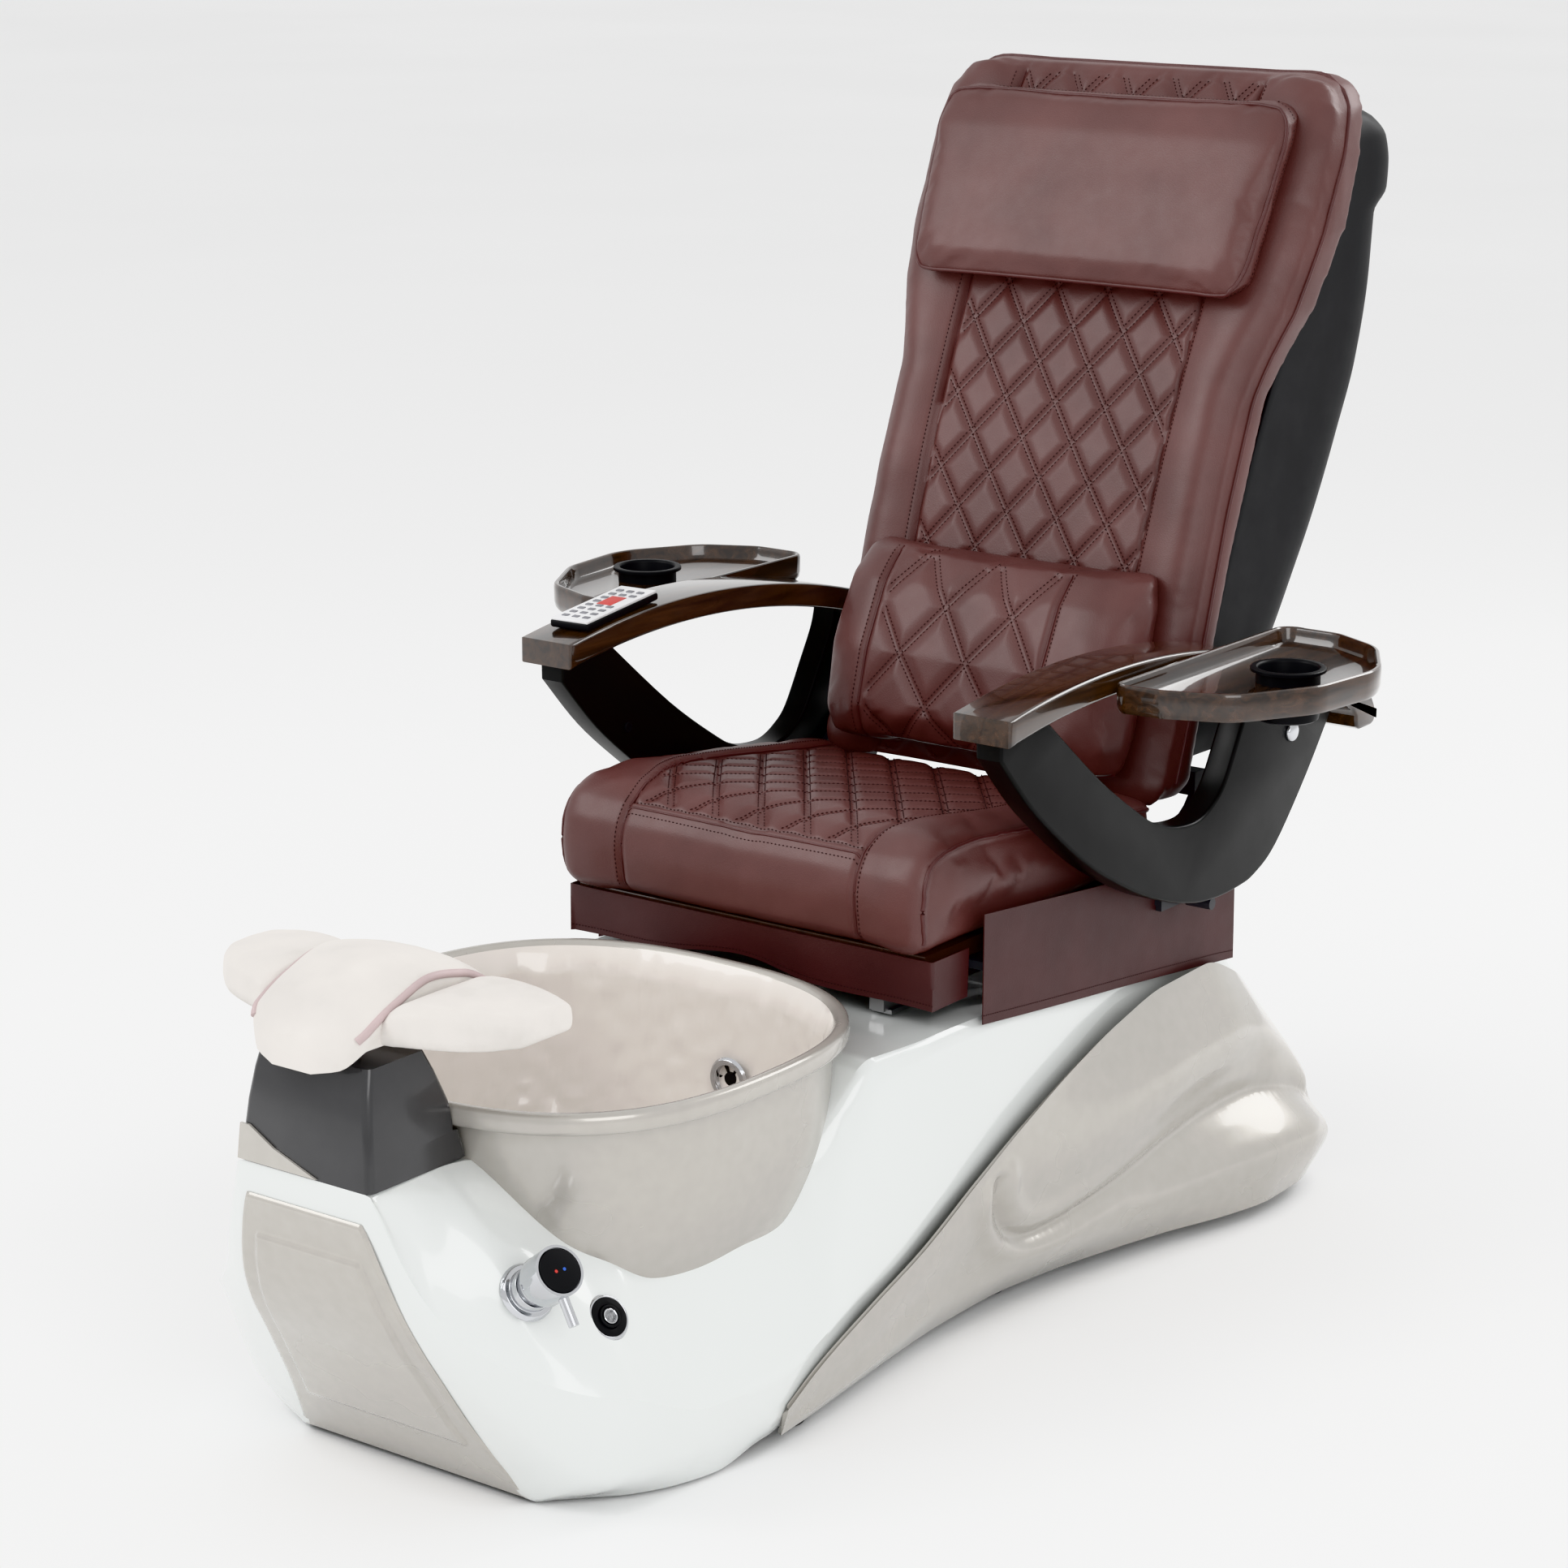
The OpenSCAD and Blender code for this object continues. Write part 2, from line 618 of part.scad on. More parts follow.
// Plates that carry the arm pivots and the stops under the arm frames.
module arm_bracket() {
  color("gray")
  pair() {
    difference() {
      translate([282, 0, 0]) rotate([90, 0, 90]) linear_extrude(8)
        polygon([[300, 425], [430, 425], [552, 590], [552, 622], [540, 634], [514, 634], [500, 620],
          [500, 598], [440, 560],
          [330, 470], [300, 450]]);
      translate([270, arm_pivot_y, arm_pivot_z]) rotate([0, 90, 0]) cylinder(r = 9, h = 30);
    }
    translate([230, 298, 432]) cube([52.2, 40, 18]);
    translate([289.5, 362, 426]) rotate([0, 90, 0]) cylinder(r = 7.4, h = 34);
  }
}

// Arm pivots with their round end caps.
module arm_pins() {
  color("silver")
  pair() translate([0, arm_pivot_y, arm_pivot_z]) rotate([0, 90, 0]) {
    translate([0, 0, 282]) cylinder(r = 9, h = frame_x0 + frame_thick - 281);
    translate([0, 0, frame_x0 + frame_thick + 0.4]) cylinder(r1 = 12.5, r2 = 11, h = 5);
  }
}

// ---------- arms ----------

arm_arc_y = 100;
arm_arc_r = 1282;
arm_top_z = 770;
module arm_disc(r, x0, x1) {
  translate([x0, arm_arc_y, arm_top_z - arm_arc_r])
    rotate([0, 90, 0]) cylinder(r = r, h = x1 - x0, $fn = 200);
}

module armrest() {
  intersection() {
    difference() {
      union() {
        arm_disc(arm_arc_r, arm_in_x + 3, arm_out_x - 3);
        translate([arm_in_x, arm_arc_y, arm_top_z - arm_arc_r]) rotate([0, 90, 0])
          cylinder(r1 = arm_arc_r - 4, r2 = arm_arc_r, h = 3, $fn = 200);
        translate([arm_out_x - 3, arm_arc_y, arm_top_z - arm_arc_r]) rotate([0, 90, 0])
          cylinder(r1 = arm_arc_r, r2 = arm_arc_r - 4, h = 3, $fn = 200);
      }
      difference() {
        arm_disc(arm_arc_r - arm_thick, arm_in_x - 1, arm_out_x + 1);
        translate([arm_in_x - 2, 655, 560]) cube([90, 60, 120]);
      }
    }
    translate([arm_in_x, -120, 585]) cube([arm_out_x - arm_in_x, 826, 200]);
  }
}

arm_outer = [[-108, 760], [-108, 700], [-44, 632], [30, 572], [88, 532], [140, 503], [191, 478], [240, 459],
  [283, 446], [326, 437], [369, 434], [412, 436], [450, 443], [500, 470], [572, 545], [640, 630],
  [640, 760]];
arm_inner = [[-34, 780], [-26, 737], [97, 637], [193, 573], [226, 557], [257, 547], [290, 542], [319, 543],
  [346, 554], [372, 575], [405, 630], [428, 671], [440, 780]];

module arm_frame() {
  intersection() {
    difference() {
      translate([frame_x0, 0, 0]) rotate([90, 0, 90]) linear_extrude(frame_thick)
        difference() {
          polygon(arm_outer);
          polygon(arm_inner);
        }
      translate([frame_x0 - 5, arm_pivot_y, arm_pivot_z]) rotate([0, 90, 0]) cylinder(r = 9.05, h = 60);
      for (p = [[12, 622], [190, 512]]) translate([frame_x0 - 1, p[0], p[1]])
        rotate([0, 90, 0]) cylinder(r = 5, h = 9);
    }
    arm_disc(arm_arc_r - arm_thick - 0.02, frame_x0 - 5, frame_x0 + frame_thick + 5);
  }
}

// Bracket on the side of the armrest with the post that the tray turns on.
module tray_bracket() {
  translate([arm_out_x + 0.02, 412, 704]) cube([50, 40, 11]);
  translate([378, 432, 714]) cylinder(r = 6, h = 41);
  translate([378, 432, 754.5]) cylinder(r = 9, h = 3);
}

module tray_plan(g) {
  hull() {
    translate([378, 432]) circle(r = 24 - g);
    translate([373, 90]) circle(r = 18 - g);
    translate([410, 112]) circle(r = 36 - g);
    translate([449, 160]) circle(r = 66 - g);
    translate([466, 230]) circle(r = 86 - g);
    translate([468, 300]) circle(r = 92 - g);
    translate([450, 362]) circle(r = 76 - g);
    translate([422, 410]) circle(r = 46 - g);
  }
}

module tray() {
  difference() {
    union() {
      translate([0, 0, tray_top_z - tray_h]) linear_extrude(tray_h) tray_plan(0);
      translate([378, 432, 715.6]) cylinder(r = 14, h = 10);
    }
    difference() {
      translate([0, 0, tray_top_z - 18]) linear_extrude(30) tray_plan(8);
      translate([378, 432, tray_top_z - 20]) cylinder(r = 15, h = 16);
      translate([cup_x, cup_y, tray_top_z - 19]) cylinder(r = cup_r + 9, h = 14);
    }
    translate([378, 432, 700]) cylinder(r = 6.05, h = 100);
    translate([cup_x, cup_y, 700]) cylinder(r = cup_r + 2.5, h = 100);
  }
}

module cup_holder() {
  difference() {
    union() {
      translate([cup_x, cup_y, tray_top_z - 4.6]) cylinder(r = cup_r + 9, h = 4.6);
      translate([cup_x, cup_y, tray_top_z - 62]) cylinder(r = cup_r + 2.4, h = 60);
    }
    translate([cup_x, cup_y, tray_top_z - 59]) cylinder(r = cup_r, h = 80);
  }
}

module armrest_left() {
  color("saddlebrown") armrest();
}

module armrest_right() {
  color("saddlebrown") mirror([1, 0, 0]) armrest();
}

module arm_frame_left() {
  color("black") {
    arm_frame();
    tray_bracket();
  }
}

module arm_frame_right() {
  color("black") mirror([1, 0, 0]) {
    arm_frame();
    tray_bracket();
  }
}

module tray_left() {
  color("saddlebrown") tray();
}

module tray_right() {
  color("saddlebrown") mirror([1, 0, 0]) tray();
}

module cup_holder_left() {
  color("black") cup_holder();
}

module cup_holder_right() {
  color("black") mirror([1, 0, 0]) cup_holder();
}

// Handset lying on the arm at the sitter's right.
module at_remote() {
  translate([-309, -12, 765.6]) rotate([5, 0, 4]) children();
}

module remote_body() {
  color("dimgray") at_remote() translate([-28, -74, 0]) cube([56, 148, 10]);
}

module remote_face() {
  color("white") at_remote() {
    translate([-26.5, -72.5, 10]) cube([53, 145, 2.5]);
    for (i = [-1:1], j = [0:7]) translate([i * 15 - 4.5, j * 16 - 62, 12]) cube([9, 8, 1.5]);
  }
}

// ---------- backrest ----------

// Back cushion: height, half width, front, rear.
back_rows = [[532, 250, 348, 408], [552, 262, 350, 420], [640, 262, 382, 448], [730, 262, 412, 476],
  [823, 262, 441, 506], [914, 262, 472, 542], [1005, 262, 508, 578], [1051, 272, 527, 606],
  [1110, 290, 554, 642],
  [1200, 300, 596, 690], [1300, 300, 640, 724], [1350, 292, 666, 742], [1378, 272, 684, 750],
  [1390, 244, 700, 744]];
function back_ring(r) = [[-r[1], r[3], r[0]], [-r[1], r[2] + 38, r[0]], [-r[1] + 9, r[2] + 12, r[0]],
  [-r[1] + 34, r[2], r[0]], [r[1] - 34, r[2], r[0]], [r[1] - 9, r[2] + 12, r[0]], [r[1], r[2] + 38, r[0]],
  [r[1], r[3], r[0]]];

module back_cushion() {
  color("maroon") skin([for (r = back_rows) back_ring(r)]);
}

// Rear shell: height, half width, joint with the cushion, rear face, wall at the rear.
shell_rows = [[575, 232, 430, 566, 60], [605, 237, 441, 590, 5], [690, 242, 466, 652, 5],
  [770, 246, 490, 700, 5],
  [840, 248, 514, 742, 5], [935, 250, 552, 790, 5], [1025, 254, 592, 826, 5], [1126, 258, 654, 846, 5],
  [1208, 260, 695, 852, 5], [1236, 260, 706, 882, 5], [1268, 260, 718, 885, 5], [1300, 258, 726, 880, 5],
  [1326, 250, 735, 856, 60], [1344, 232, 741, 816, 70]];
function shell_ring(r) = let (w = r[1], t = 5, d = r[4]) [[-w, r[2], r[0]], [-w, r[3] - 46, r[0]],
  [-w + 12, r[3] - 18, r[0]],
  [-w + 44, r[3], r[0]], [w - 44, r[3], r[0]], [w - 12, r[3] - 18, r[0]], [w, r[3] - 46, r[0]],
  [w, r[2], r[0]],
  [w - t, r[2], r[0]], [w - t, max(r[3] - 48 - d + 5, r[2] + 1), r[0]],
  [w - t - 12, max(r[3] - 22 - d + 5, r[2] + 2), r[0]],
  [w - t - 42, max(r[3] - d, r[2] + 3), r[0]], [-w + t + 42, max(r[3] - d, r[2] + 3), r[0]],
  [-w + t + 12, max(r[3] - 22 - d + 5, r[2] + 2), r[0]], [-w + t, max(r[3] - 48 - d + 5, r[2] + 1), r[0]],
  [-w + t, r[2], r[0]]];

module back_shell() {
  color("black") skin([for (r = shell_rows) shell_ring(r)]);
}

// Back frame with the two mounts that hold the massage rails.
module back_frame() {
  color("gray") {
    pair() {
      difference() {
        translate([238.5, 0, 0]) rotate([90, 0, 90]) linear_extrude(7)
          polygon([[385, 450], [425, 450], [470, 545], [452, 545], [430, 520], [385, 490]]);
        translate([230, back_pivot[1], back_pivot[2]]) rotate([0, 90, 0]) cylinder(r = 8.05, h = 30);
      }
      translate([205, 0, 0]) rotate([90, 0, 90]) linear_extrude(14)
        polygon([[446, 530], [466, 530], [480, 600], [640, 1000], [715, 1180], [696, 1180], [620, 1000],
          [460, 600]]);
      translate([206, 444, 530]) cube([39.5, 24, 30]);
    }
    translate([-206, 458, 575]) cube([412, 16, 20]);
    translate([-206, 698, 1148]) cube([412, 14, 20]);
    difference() {
      union() {
        translate([-110, 473, 585]) cube([220, 46, 10]);
        translate([-110, 706, 1140]) cube([220, 44, 12]);
      }
      at_rail() for (x = [-80, 80]) translate([x, 0, -40]) cylinder(r = 7.02, h = 700);
    }
  }
}

// Massage rails run up inside the shell, leaning with the back.
rail_foot = [0, 500, 600];
rail_lean = 22.5;
module at_rail() {
  translate(rail_foot) rotate([-rail_lean, 0, 0]) children();
}

module massage_rails() {
  color("silver") at_rail()
  for (x = [-80, 80]) translate([x, 0, 0]) cylinder(r = 7, h = 600);
}

module massage_carriage() {
  color("dimgray") at_rail()
  difference() {
    translate([-105, -16, 270]) cube([210, 36, 70]);
    for (x = [-80, 80]) translate([x, 0, 260]) cylinder(r = 7.06, h = 90);
    translate([-60, -34, 265]) cube([120, 38, 80]);
    for (z = [286, 324]) translate([-70, -14, z]) rotate([0, 90, 0]) cylinder(r = 3.09, h = 140);
  }
}

module massage_roller(z) {
  at_rail() translate([0, -14, z]) rotate([0, 90, 0]) {
    translate([0, 0, -68]) cylinder(r = 3, h = 136);
    for (x = [-46, 18]) translate([0, 0, x]) cylinder(r = 16, h = 28);
  }
}

module roller_lower() {
  color("black") massage_roller(286);
}

module roller_upper() {
  color("black") massage_roller(324);
}

// Headrest pillow: height, half width, front offset and rear offset from the back's front.
head_rows = [[1122, 232, -36, -14], [1130, 246, -50, -6], [1160, 252, -58, -4], [1240, 257, -60, -4],
  [1310, 262, -58, -4], [1346, 258, -50, -6], [1360, 240, -36, -16]];
module headrest_pillow() {
  color("maroon")
  skin([for (r = head_rows) let (y = back_y(r[0])) [[-r[1] + 8, y + r[3], r[0]],
    [-r[1], y + (r[2] + r[3]) / 2, r[0]],
    [-r[1] + 10, y + r[2] + 4, r[0]], [-r[1] + 40, y + r[2], r[0]], [r[1] - 40, y + r[2], r[0]],
    [r[1] - 10, y + r[2] + 4, r[0]],
    [r[1], y + (r[2] + r[3]) / 2, r[0]], [r[1] - 8, y + r[3], r[0]]]]);
}

lumbar_rows = [[566, 206, -40, -14], [574, 216, -72, -8], [610, 224, -92, -5], [690, 226, -98, -5],
  [770, 224, -84, -5],
  [804, 216, -62, -7], [814, 204, -36, -14]];
module lumbar_pillow() {
  color("maroon")
  translate([4, 0, 0])
  skin([for (r = lumbar_rows) let (y = back_y(r[0])) [[-r[1] + 8, y + r[3], r[0]],
    [-r[1], y + (r[2] + r[3]) / 2, r[0]],
    [-r[1] + 14, y + r[2] + 12, r[0]], [-r[1] + 60, y + r[2], r[0]], [r[1] - 60, y + r[2], r[0]],
    [r[1] - 14, y + r[2] + 12, r[0]],
    [r[1], y + (r[2] + r[3]) / 2, r[0]], [r[1] - 8, y + r[3], r[0]]]]);
}

base_shell();
side_panel_left();
side_panel_right();
front_panel();
pedestal_cover();
pedestal_trim();
bowl();
bowl_drain();
drain_stopper();
jet_housing();
jet_impeller();
tap_plate();
tap_collar();
tap_head();
tap_cap();
switch_bezel();
switch_ring();
air_button();
levelling_feet();
base_frame();
slide_rails();
rear_panel();
inlets();
waste_outlet();
valve_body();
discharge_pump();
drain_pipe();
control_box();
footrest_post();
footrest_pad_left();
footrest_pad_right();
footrest_saddle();
seat_frame();
seat_motor();
seat_pan();
seat_cushion();
front_skirt();
side_skirt_left();
side_skirt_right();
arm_bracket();
arm_pins();
armrest_left();
armrest_right();
arm_frame_left();
arm_frame_right();
tray_left();
tray_right();
cup_holder_left();
cup_holder_right();
remote_body();
remote_face();
back_cushion();
back_shell();
back_frame();
massage_rails();
massage_carriage();
roller_lower();
roller_upper();
headrest_pillow();
lumbar_pillow();
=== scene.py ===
import json
from math import cos, exp, hypot, pi, radians, sin, sqrt
import bmesh
import bpy
from mathutils import Matrix, Vector, noise
from mathutils.bvhtree import BVHTree


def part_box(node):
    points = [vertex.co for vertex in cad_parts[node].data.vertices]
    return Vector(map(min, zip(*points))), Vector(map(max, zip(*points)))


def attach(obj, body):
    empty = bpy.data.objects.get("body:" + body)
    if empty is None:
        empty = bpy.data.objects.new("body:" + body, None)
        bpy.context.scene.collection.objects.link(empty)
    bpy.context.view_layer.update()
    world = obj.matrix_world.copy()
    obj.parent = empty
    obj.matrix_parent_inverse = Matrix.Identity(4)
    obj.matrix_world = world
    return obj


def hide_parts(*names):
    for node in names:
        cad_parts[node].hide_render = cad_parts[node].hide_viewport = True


# Pedicure spa chair. Metres; +Z up, the sitter faces -Y, +X is the sitter's left.
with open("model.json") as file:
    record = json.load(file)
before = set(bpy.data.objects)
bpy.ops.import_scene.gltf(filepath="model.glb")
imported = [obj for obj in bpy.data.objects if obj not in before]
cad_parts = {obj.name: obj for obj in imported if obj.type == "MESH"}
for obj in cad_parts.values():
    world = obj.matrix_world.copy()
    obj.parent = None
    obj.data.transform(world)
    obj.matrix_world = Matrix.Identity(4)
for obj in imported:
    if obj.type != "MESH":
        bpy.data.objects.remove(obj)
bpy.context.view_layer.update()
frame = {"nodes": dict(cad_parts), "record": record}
NODES = frame["nodes"]
MM = 0.001

# ---------- camera ----------
camera = bpy.data.objects.new("camera", bpy.data.cameras.new("camera"))
bpy.context.scene.collection.objects.link(camera)
camera.location = (2.63576, -3.56037, 1.77861)
camera.rotation_euler = (radians(75.1048), 0.0, radians(37.0165))
camera.data.sensor_width = 36.0
camera.data.lens = 90.09
bpy.context.scene.camera = camera
bpy.context.scene.view_settings.view_transform = "Khronos PBR Neutral"


# ---------- mesh helpers ----------
def link(name, mesh):
    obj = bpy.data.objects.new(name, mesh)
    bpy.context.scene.collection.objects.link(obj)
    return obj


def flatten(obj):
    """Applies the modifiers."""
    graph = bpy.context.evaluated_depsgraph_get()
    graph.update()
    mesh = bpy.data.meshes.new_from_object(obj.evaluated_get(graph))
    obj.modifiers.clear()
    obj.data = mesh
    return obj


def modify(obj, kind, **settings):
    modifier = obj.modifiers.new(kind.lower(), kind)
    for key, value in settings.items():
        setattr(modifier, key, value)
    return flatten(obj)


def outward(mesh):
    work = bmesh.new()
    work.from_mesh(mesh)
    bmesh.ops.recalc_face_normals(work, faces=work.faces)
    work.to_mesh(mesh)
    work.free()


def make(name, points, faces, sharp=40.0):
    mesh = bpy.data.meshes.new(name)
    mesh.from_pydata([tuple(p) for p in points], [], faces)
    mesh.update()
    obj = link(name, mesh)
    shade(obj, sharp)
    return obj


def shade(obj, sharp=40.0):
    obj.data.polygons.foreach_set("use_smooth", [True] * len(obj.data.polygons))
    obj.data.set_sharp_from_angle(angle=radians(sharp))
    return obj


def place(obj, body, material, slot, *nodes, padded=None):
    """Puts a finished piece on its body, with its material and the nodes it stands for."""
    obj.data.materials.clear()
    obj.data.materials.append(material)
    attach(obj, body)
    if nodes:
        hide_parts(*nodes)
    return obj


def grid(rings, closed, caps=(True, True)):
    """Faces between rings of the same count."""
    n = len(rings[0])
    points = [p for ring in rings for p in ring]
    last = n if closed else n - 1
    faces = [(j * n + i, j * n + (i + 1) % n, (j + 1) * n + (i + 1) % n, (j + 1) * n + i)
             for j in range(len(rings) - 1) for i in range(last)]
    if caps[0]:
        faces.append(tuple(range(n - 1, -1, -1)))
    if caps[1]:
        faces.append(tuple((len(rings) - 1) * n + i for i in range(n)))
    return points, faces


def loft(name, rings, closed=True, caps=(True, True), sharp=40.0):
    obj = make(name, *grid(rings, closed, caps), sharp=sharp)
    outward(obj.data)
    return shade(obj, sharp)


def monotone(xs, ys):
    """A cubic through the points that never overshoots them."""
    n = len(xs)
    step = [(ys[i + 1] - ys[i]) / (xs[i + 1] - xs[i]) for i in range(n - 1)]
    slope = [step[0]] + [0.0] * (n - 2) + [step[-1]]
    for i in range(1, n - 1):
        if step[i - 1] * step[i] > 0:
            slope[i] = 2 * step[i - 1] * step[i] / (step[i - 1] + step[i])

    def value(x):
        x = min(max(x, xs[0]), xs[-1])
        i = 0
        while i < n - 2 and x > xs[i + 1]:
            i += 1
        h = xs[i + 1] - xs[i]
        t = (x - xs[i]) / h
        return ((1 + 2 * t) * (1 - t) ** 2 * ys[i] + t * (1 - t) ** 2 * h * slope[i]
                + t * t * (3 - 2 * t) * ys[i + 1] + t * t * (t - 1) * h * slope[i + 1])
    return value


def rows_at(rows):
    """rows: (key, [(a, b), ...]). Returns a function of the key that gives the section's points."""
    keys = [r[0] for r in rows]
    curves = [[monotone(keys, [r[1][i][k] for r in rows]) for k in (0, 1)] for i in range(len(rows[0][1]))]
    return lambda key: [(a(key), b(key)) for a, b in curves]


def catmull(points, k, closed=False):
    """A smooth curve through points of any dimension, k steps a span."""
    n = len(points)
    out = []
    for i in range(n if closed else n - 1):
        if closed:
            p = [points[(i + j - 1) % n] for j in range(4)]
        else:
            p = [points[max(i - 1, 0)], points[i], points[i + 1], points[min(i + 2, n - 1)]]
        for j in range(k):
            t = j / k
            out.append(tuple(0.5 * (2 * b + t * (c - a) + t * t * (2 * a - 5 * b + 4 * c - d)
                             + t ** 3 * (3 * b - 3 * c + d - a)) for a, b, c, d in zip(*p)))
    if not closed:
        out.append(tuple(points[-1]))
    return out


def spread(lo, hi, count):
    return [lo + (hi - lo) * i / (count - 1) for i in range(count)]


def ease(t):
    t = min(max(t, 0.0), 1.0)
    return t * t * (3 - 2 * t)


def copy_node(node, name=None):
    mesh = NODES[node].data.copy()
    work = bmesh.new()
    work.from_mesh(mesh)
    bmesh.ops.remove_doubles(work, verts=work.verts, dist=1e-6)
    work.to_mesh(mesh)
    work.free()
    return link(name or node + "_look", mesh)


def refine(node, bevel, segments=3, sharp=35.0):
    """A CAD node with its edges rounded."""
    obj = copy_node(node)
    work = bmesh.new()
    work.from_mesh(obj.data)
    bmesh.ops.dissolve_limit(work, angle_limit=radians(1.5), verts=work.verts, edges=work.edges)
    work.to_mesh(obj.data)
    work.free()
    modify(obj, "BEVEL", width=bevel, segments=segments, limit_method="ANGLE", angle_limit=radians(32),
           use_clamp_overlap=True)
    return shade(obj, sharp)


def cut(obj, cutter):
    modify(obj, "BOOLEAN", operation="DIFFERENCE", solver="EXACT", object=cutter)
    bpy.data.objects.remove(cutter)
    return obj


def rounded_box(name, lo, hi, radius, matrix=None, segments=4):
    work = bmesh.new()
    bmesh.ops.create_cube(work, size=1.0)
    for v in work.verts:
        v.co = Vector([lo[i] + (hi[i] - lo[i]) * (v.co[i] + 0.5) for i in range(3)])
    bmesh.ops.bevel(work, geom=work.edges[:], offset=radius, segments=segments, profile=0.5, affect="EDGES")
    mesh = bpy.data.meshes.new(name)
    work.to_mesh(mesh)
    work.free()
    if matrix:
        mesh.transform(matrix)
    return shade(link(name, mesh), 35)


def slab(name, outline, x0, x1, bevel):
    """A plate of a (y, z) outline between two x, with rounded edges."""
    n = len(outline)
    area = sum(outline[i][0] * outline[(i + 1) % n][1] - outline[(i + 1) % n][0] * outline[i][1]
               for i in range(n))
    turn = 1 if area > 0 else -1
    normals = []
    for i in range(n):
        a, b, c = outline[i - 1], outline[i], outline[(i + 1) % n]
        d1, d2 = Vector((b[0] - a[0], b[1] - a[1])), Vector((c[0] - b[0], c[1] - b[1]))
        e = ((d1.normalized() if d1.length else d2.normalized())
             + (d2.normalized() if d2.length else d1.normalized()))
        e = e.normalized() if e.length else d2.normalized()
        normals.append((-e[1] * turn, e[0] * turn))
    rings = []
    for side, x in ((1, x0), (-1, x1)):
        part = []
        for k in range(5):
            a = k / 4 * pi / 2
            g = bevel * (1 - sin(a))
            part.append([(x + side * bevel * (1 - cos(a)), p[0] + m[0] * g, p[1] + m[1] * g)
                         for p, m in zip(outline, normals)])
        rings += part if side > 0 else part[::-1]
    return loft(name, rings, sharp=32)


def tube(name, path, radius, sides=8, closed=False):
    """A round tube along 3-D points."""
    points = [Vector(p) for p in path]
    n = len(points)
    rings = []
    up = Vector((0, 0, 1))
    for i, p in enumerate(points):
        a, b = points[max(i - 1, 0)], points[min(i + 1, n - 1)]
        if closed:
            a, b = points[i - 1], points[(i + 1) % n]
        d = (b - a).normalized()
        side = d.cross(up)
        side = side.normalized() if side.length > 0.05 else d.cross(Vector((0, 1, 0))).normalized()
        other = side.cross(d)
        rings.append([p + (side * cos(t) + other * sin(t)) * radius
                      for t in [2 * pi * k / sides for k in range(sides)]])
    if closed:
        rings.append(rings[0])
    return loft(name, rings, caps=(not closed, not closed), sharp=60)


def press(obj, shift):
    """Moves every vertex along its normal by shift(point, normal), read once and written once."""
    mesh = obj.data
    count = len(mesh.vertices)
    flat, normals = [0.0] * (3 * count), [0.0] * (3 * count)
    mesh.vertices.foreach_get("co", flat)
    mesh.vertex_normals.foreach_get("vector", normals)
    for i in range(0, 3 * count, 3):
        p, n = Vector(flat[i:i + 3]), Vector(normals[i:i + 3])
        flat[i:i + 3] = p + n * shift(p, n)
    mesh.vertices.foreach_set("co", flat)
    mesh.update()
    return obj


def surface(obj):
    graph = bpy.context.evaluated_depsgraph_get()
    return BVHTree.FromObject(obj, graph)


def onto(tree, point, direction, lift=0.0, reach=0.25):
    """The first point of a surface along a direction from a point outside, or None."""
    direction = Vector(direction).normalized()
    hit, _, _, _ = tree.ray_cast(Vector(point) - direction * reach, direction, 2 * reach)
    return None if hit is None else hit - direction * lift


class Thread:
    """Stitches gathered into one mesh."""

    def __init__(self):
        self.points, self.faces = [], []

    def stitch(self, a, b, width=0.0008):
        a, b = Vector(a), Vector(b)
        d = b - a
        if not 0.001 < d.length < 0.012:
            return
        side = d.cross(Vector((0.3, 0.5, 0.8))).normalized() * width
        other = side.cross(d).normalized() * width
        middle = (a + b) / 2
        k = len(self.points)
        self.points += [a, b, middle + side, middle + other, middle - side, middle - other]
        for i in range(4):
            p, q = k + 2 + i, k + 2 + (i + 1) % 4
            self.faces += [(k, p, q), (k + 1, q, p)]

    def run(self, path, pitch=0.0055, fill=0.70):
        """Stitches along a polyline."""
        points = [Vector(p) for p in path if p is not None]
        if len(points) < 2:
            return
        reach, marks = 0.0, []
        for a, b in zip(points, points[1:]):
            length = (b - a).length
            if length > 0.05:
                reach = 0.0
                continue
            while reach < length:
                marks.append((a + (b - a) * (reach / length), (b - a).normalized()))
                reach += pitch
            reach -= length
        for p, d in marks:
            self.stitch(p, p + d * pitch * fill)

    def obj(self, name, body):
        o = make(name, self.points, self.faces, sharp=80)
        return place(o, body, THREAD, "leather_maroon")


# ---------- materials ----------
def material(name, color, rough, metal=0.0, coat=0.0, coat_rough=0.06, specular=0.5):
    """A principled material with its node tree."""
    m = bpy.data.materials.new(name)
    m.use_nodes = True
    shader = m.node_tree.nodes["Principled BSDF"]
    shader.inputs["Base Color"].default_value = (*color, 1)
    shader.inputs["Roughness"].default_value = rough
    shader.inputs["Metallic"].default_value = metal
    shader.inputs["Coat Weight"].default_value = coat
    shader.inputs["Coat Roughness"].default_value = coat_rough
    shader.inputs["Specular IOR Level"].default_value = specular
    m.diffuse_color = (*color, 1)
    return m


def add(m, kind, **inputs):
    node = m.node_tree.nodes.new("ShaderNode" + kind)
    for key, value in inputs.items():
        node.inputs[key.replace("_", " ")].default_value = value
    return node


def join(m, source, output, target, socket):
    m.node_tree.links.new(source.outputs[output], target.inputs[socket])


def coordinates(m, scale=(1, 1, 1)):
    place_node = add(m, "TexCoord")
    mapping = add(m, "Mapping")
    mapping.inputs["Scale"].default_value = scale
    join(m, place_node, "Object", mapping, "Vector")
    return mapping


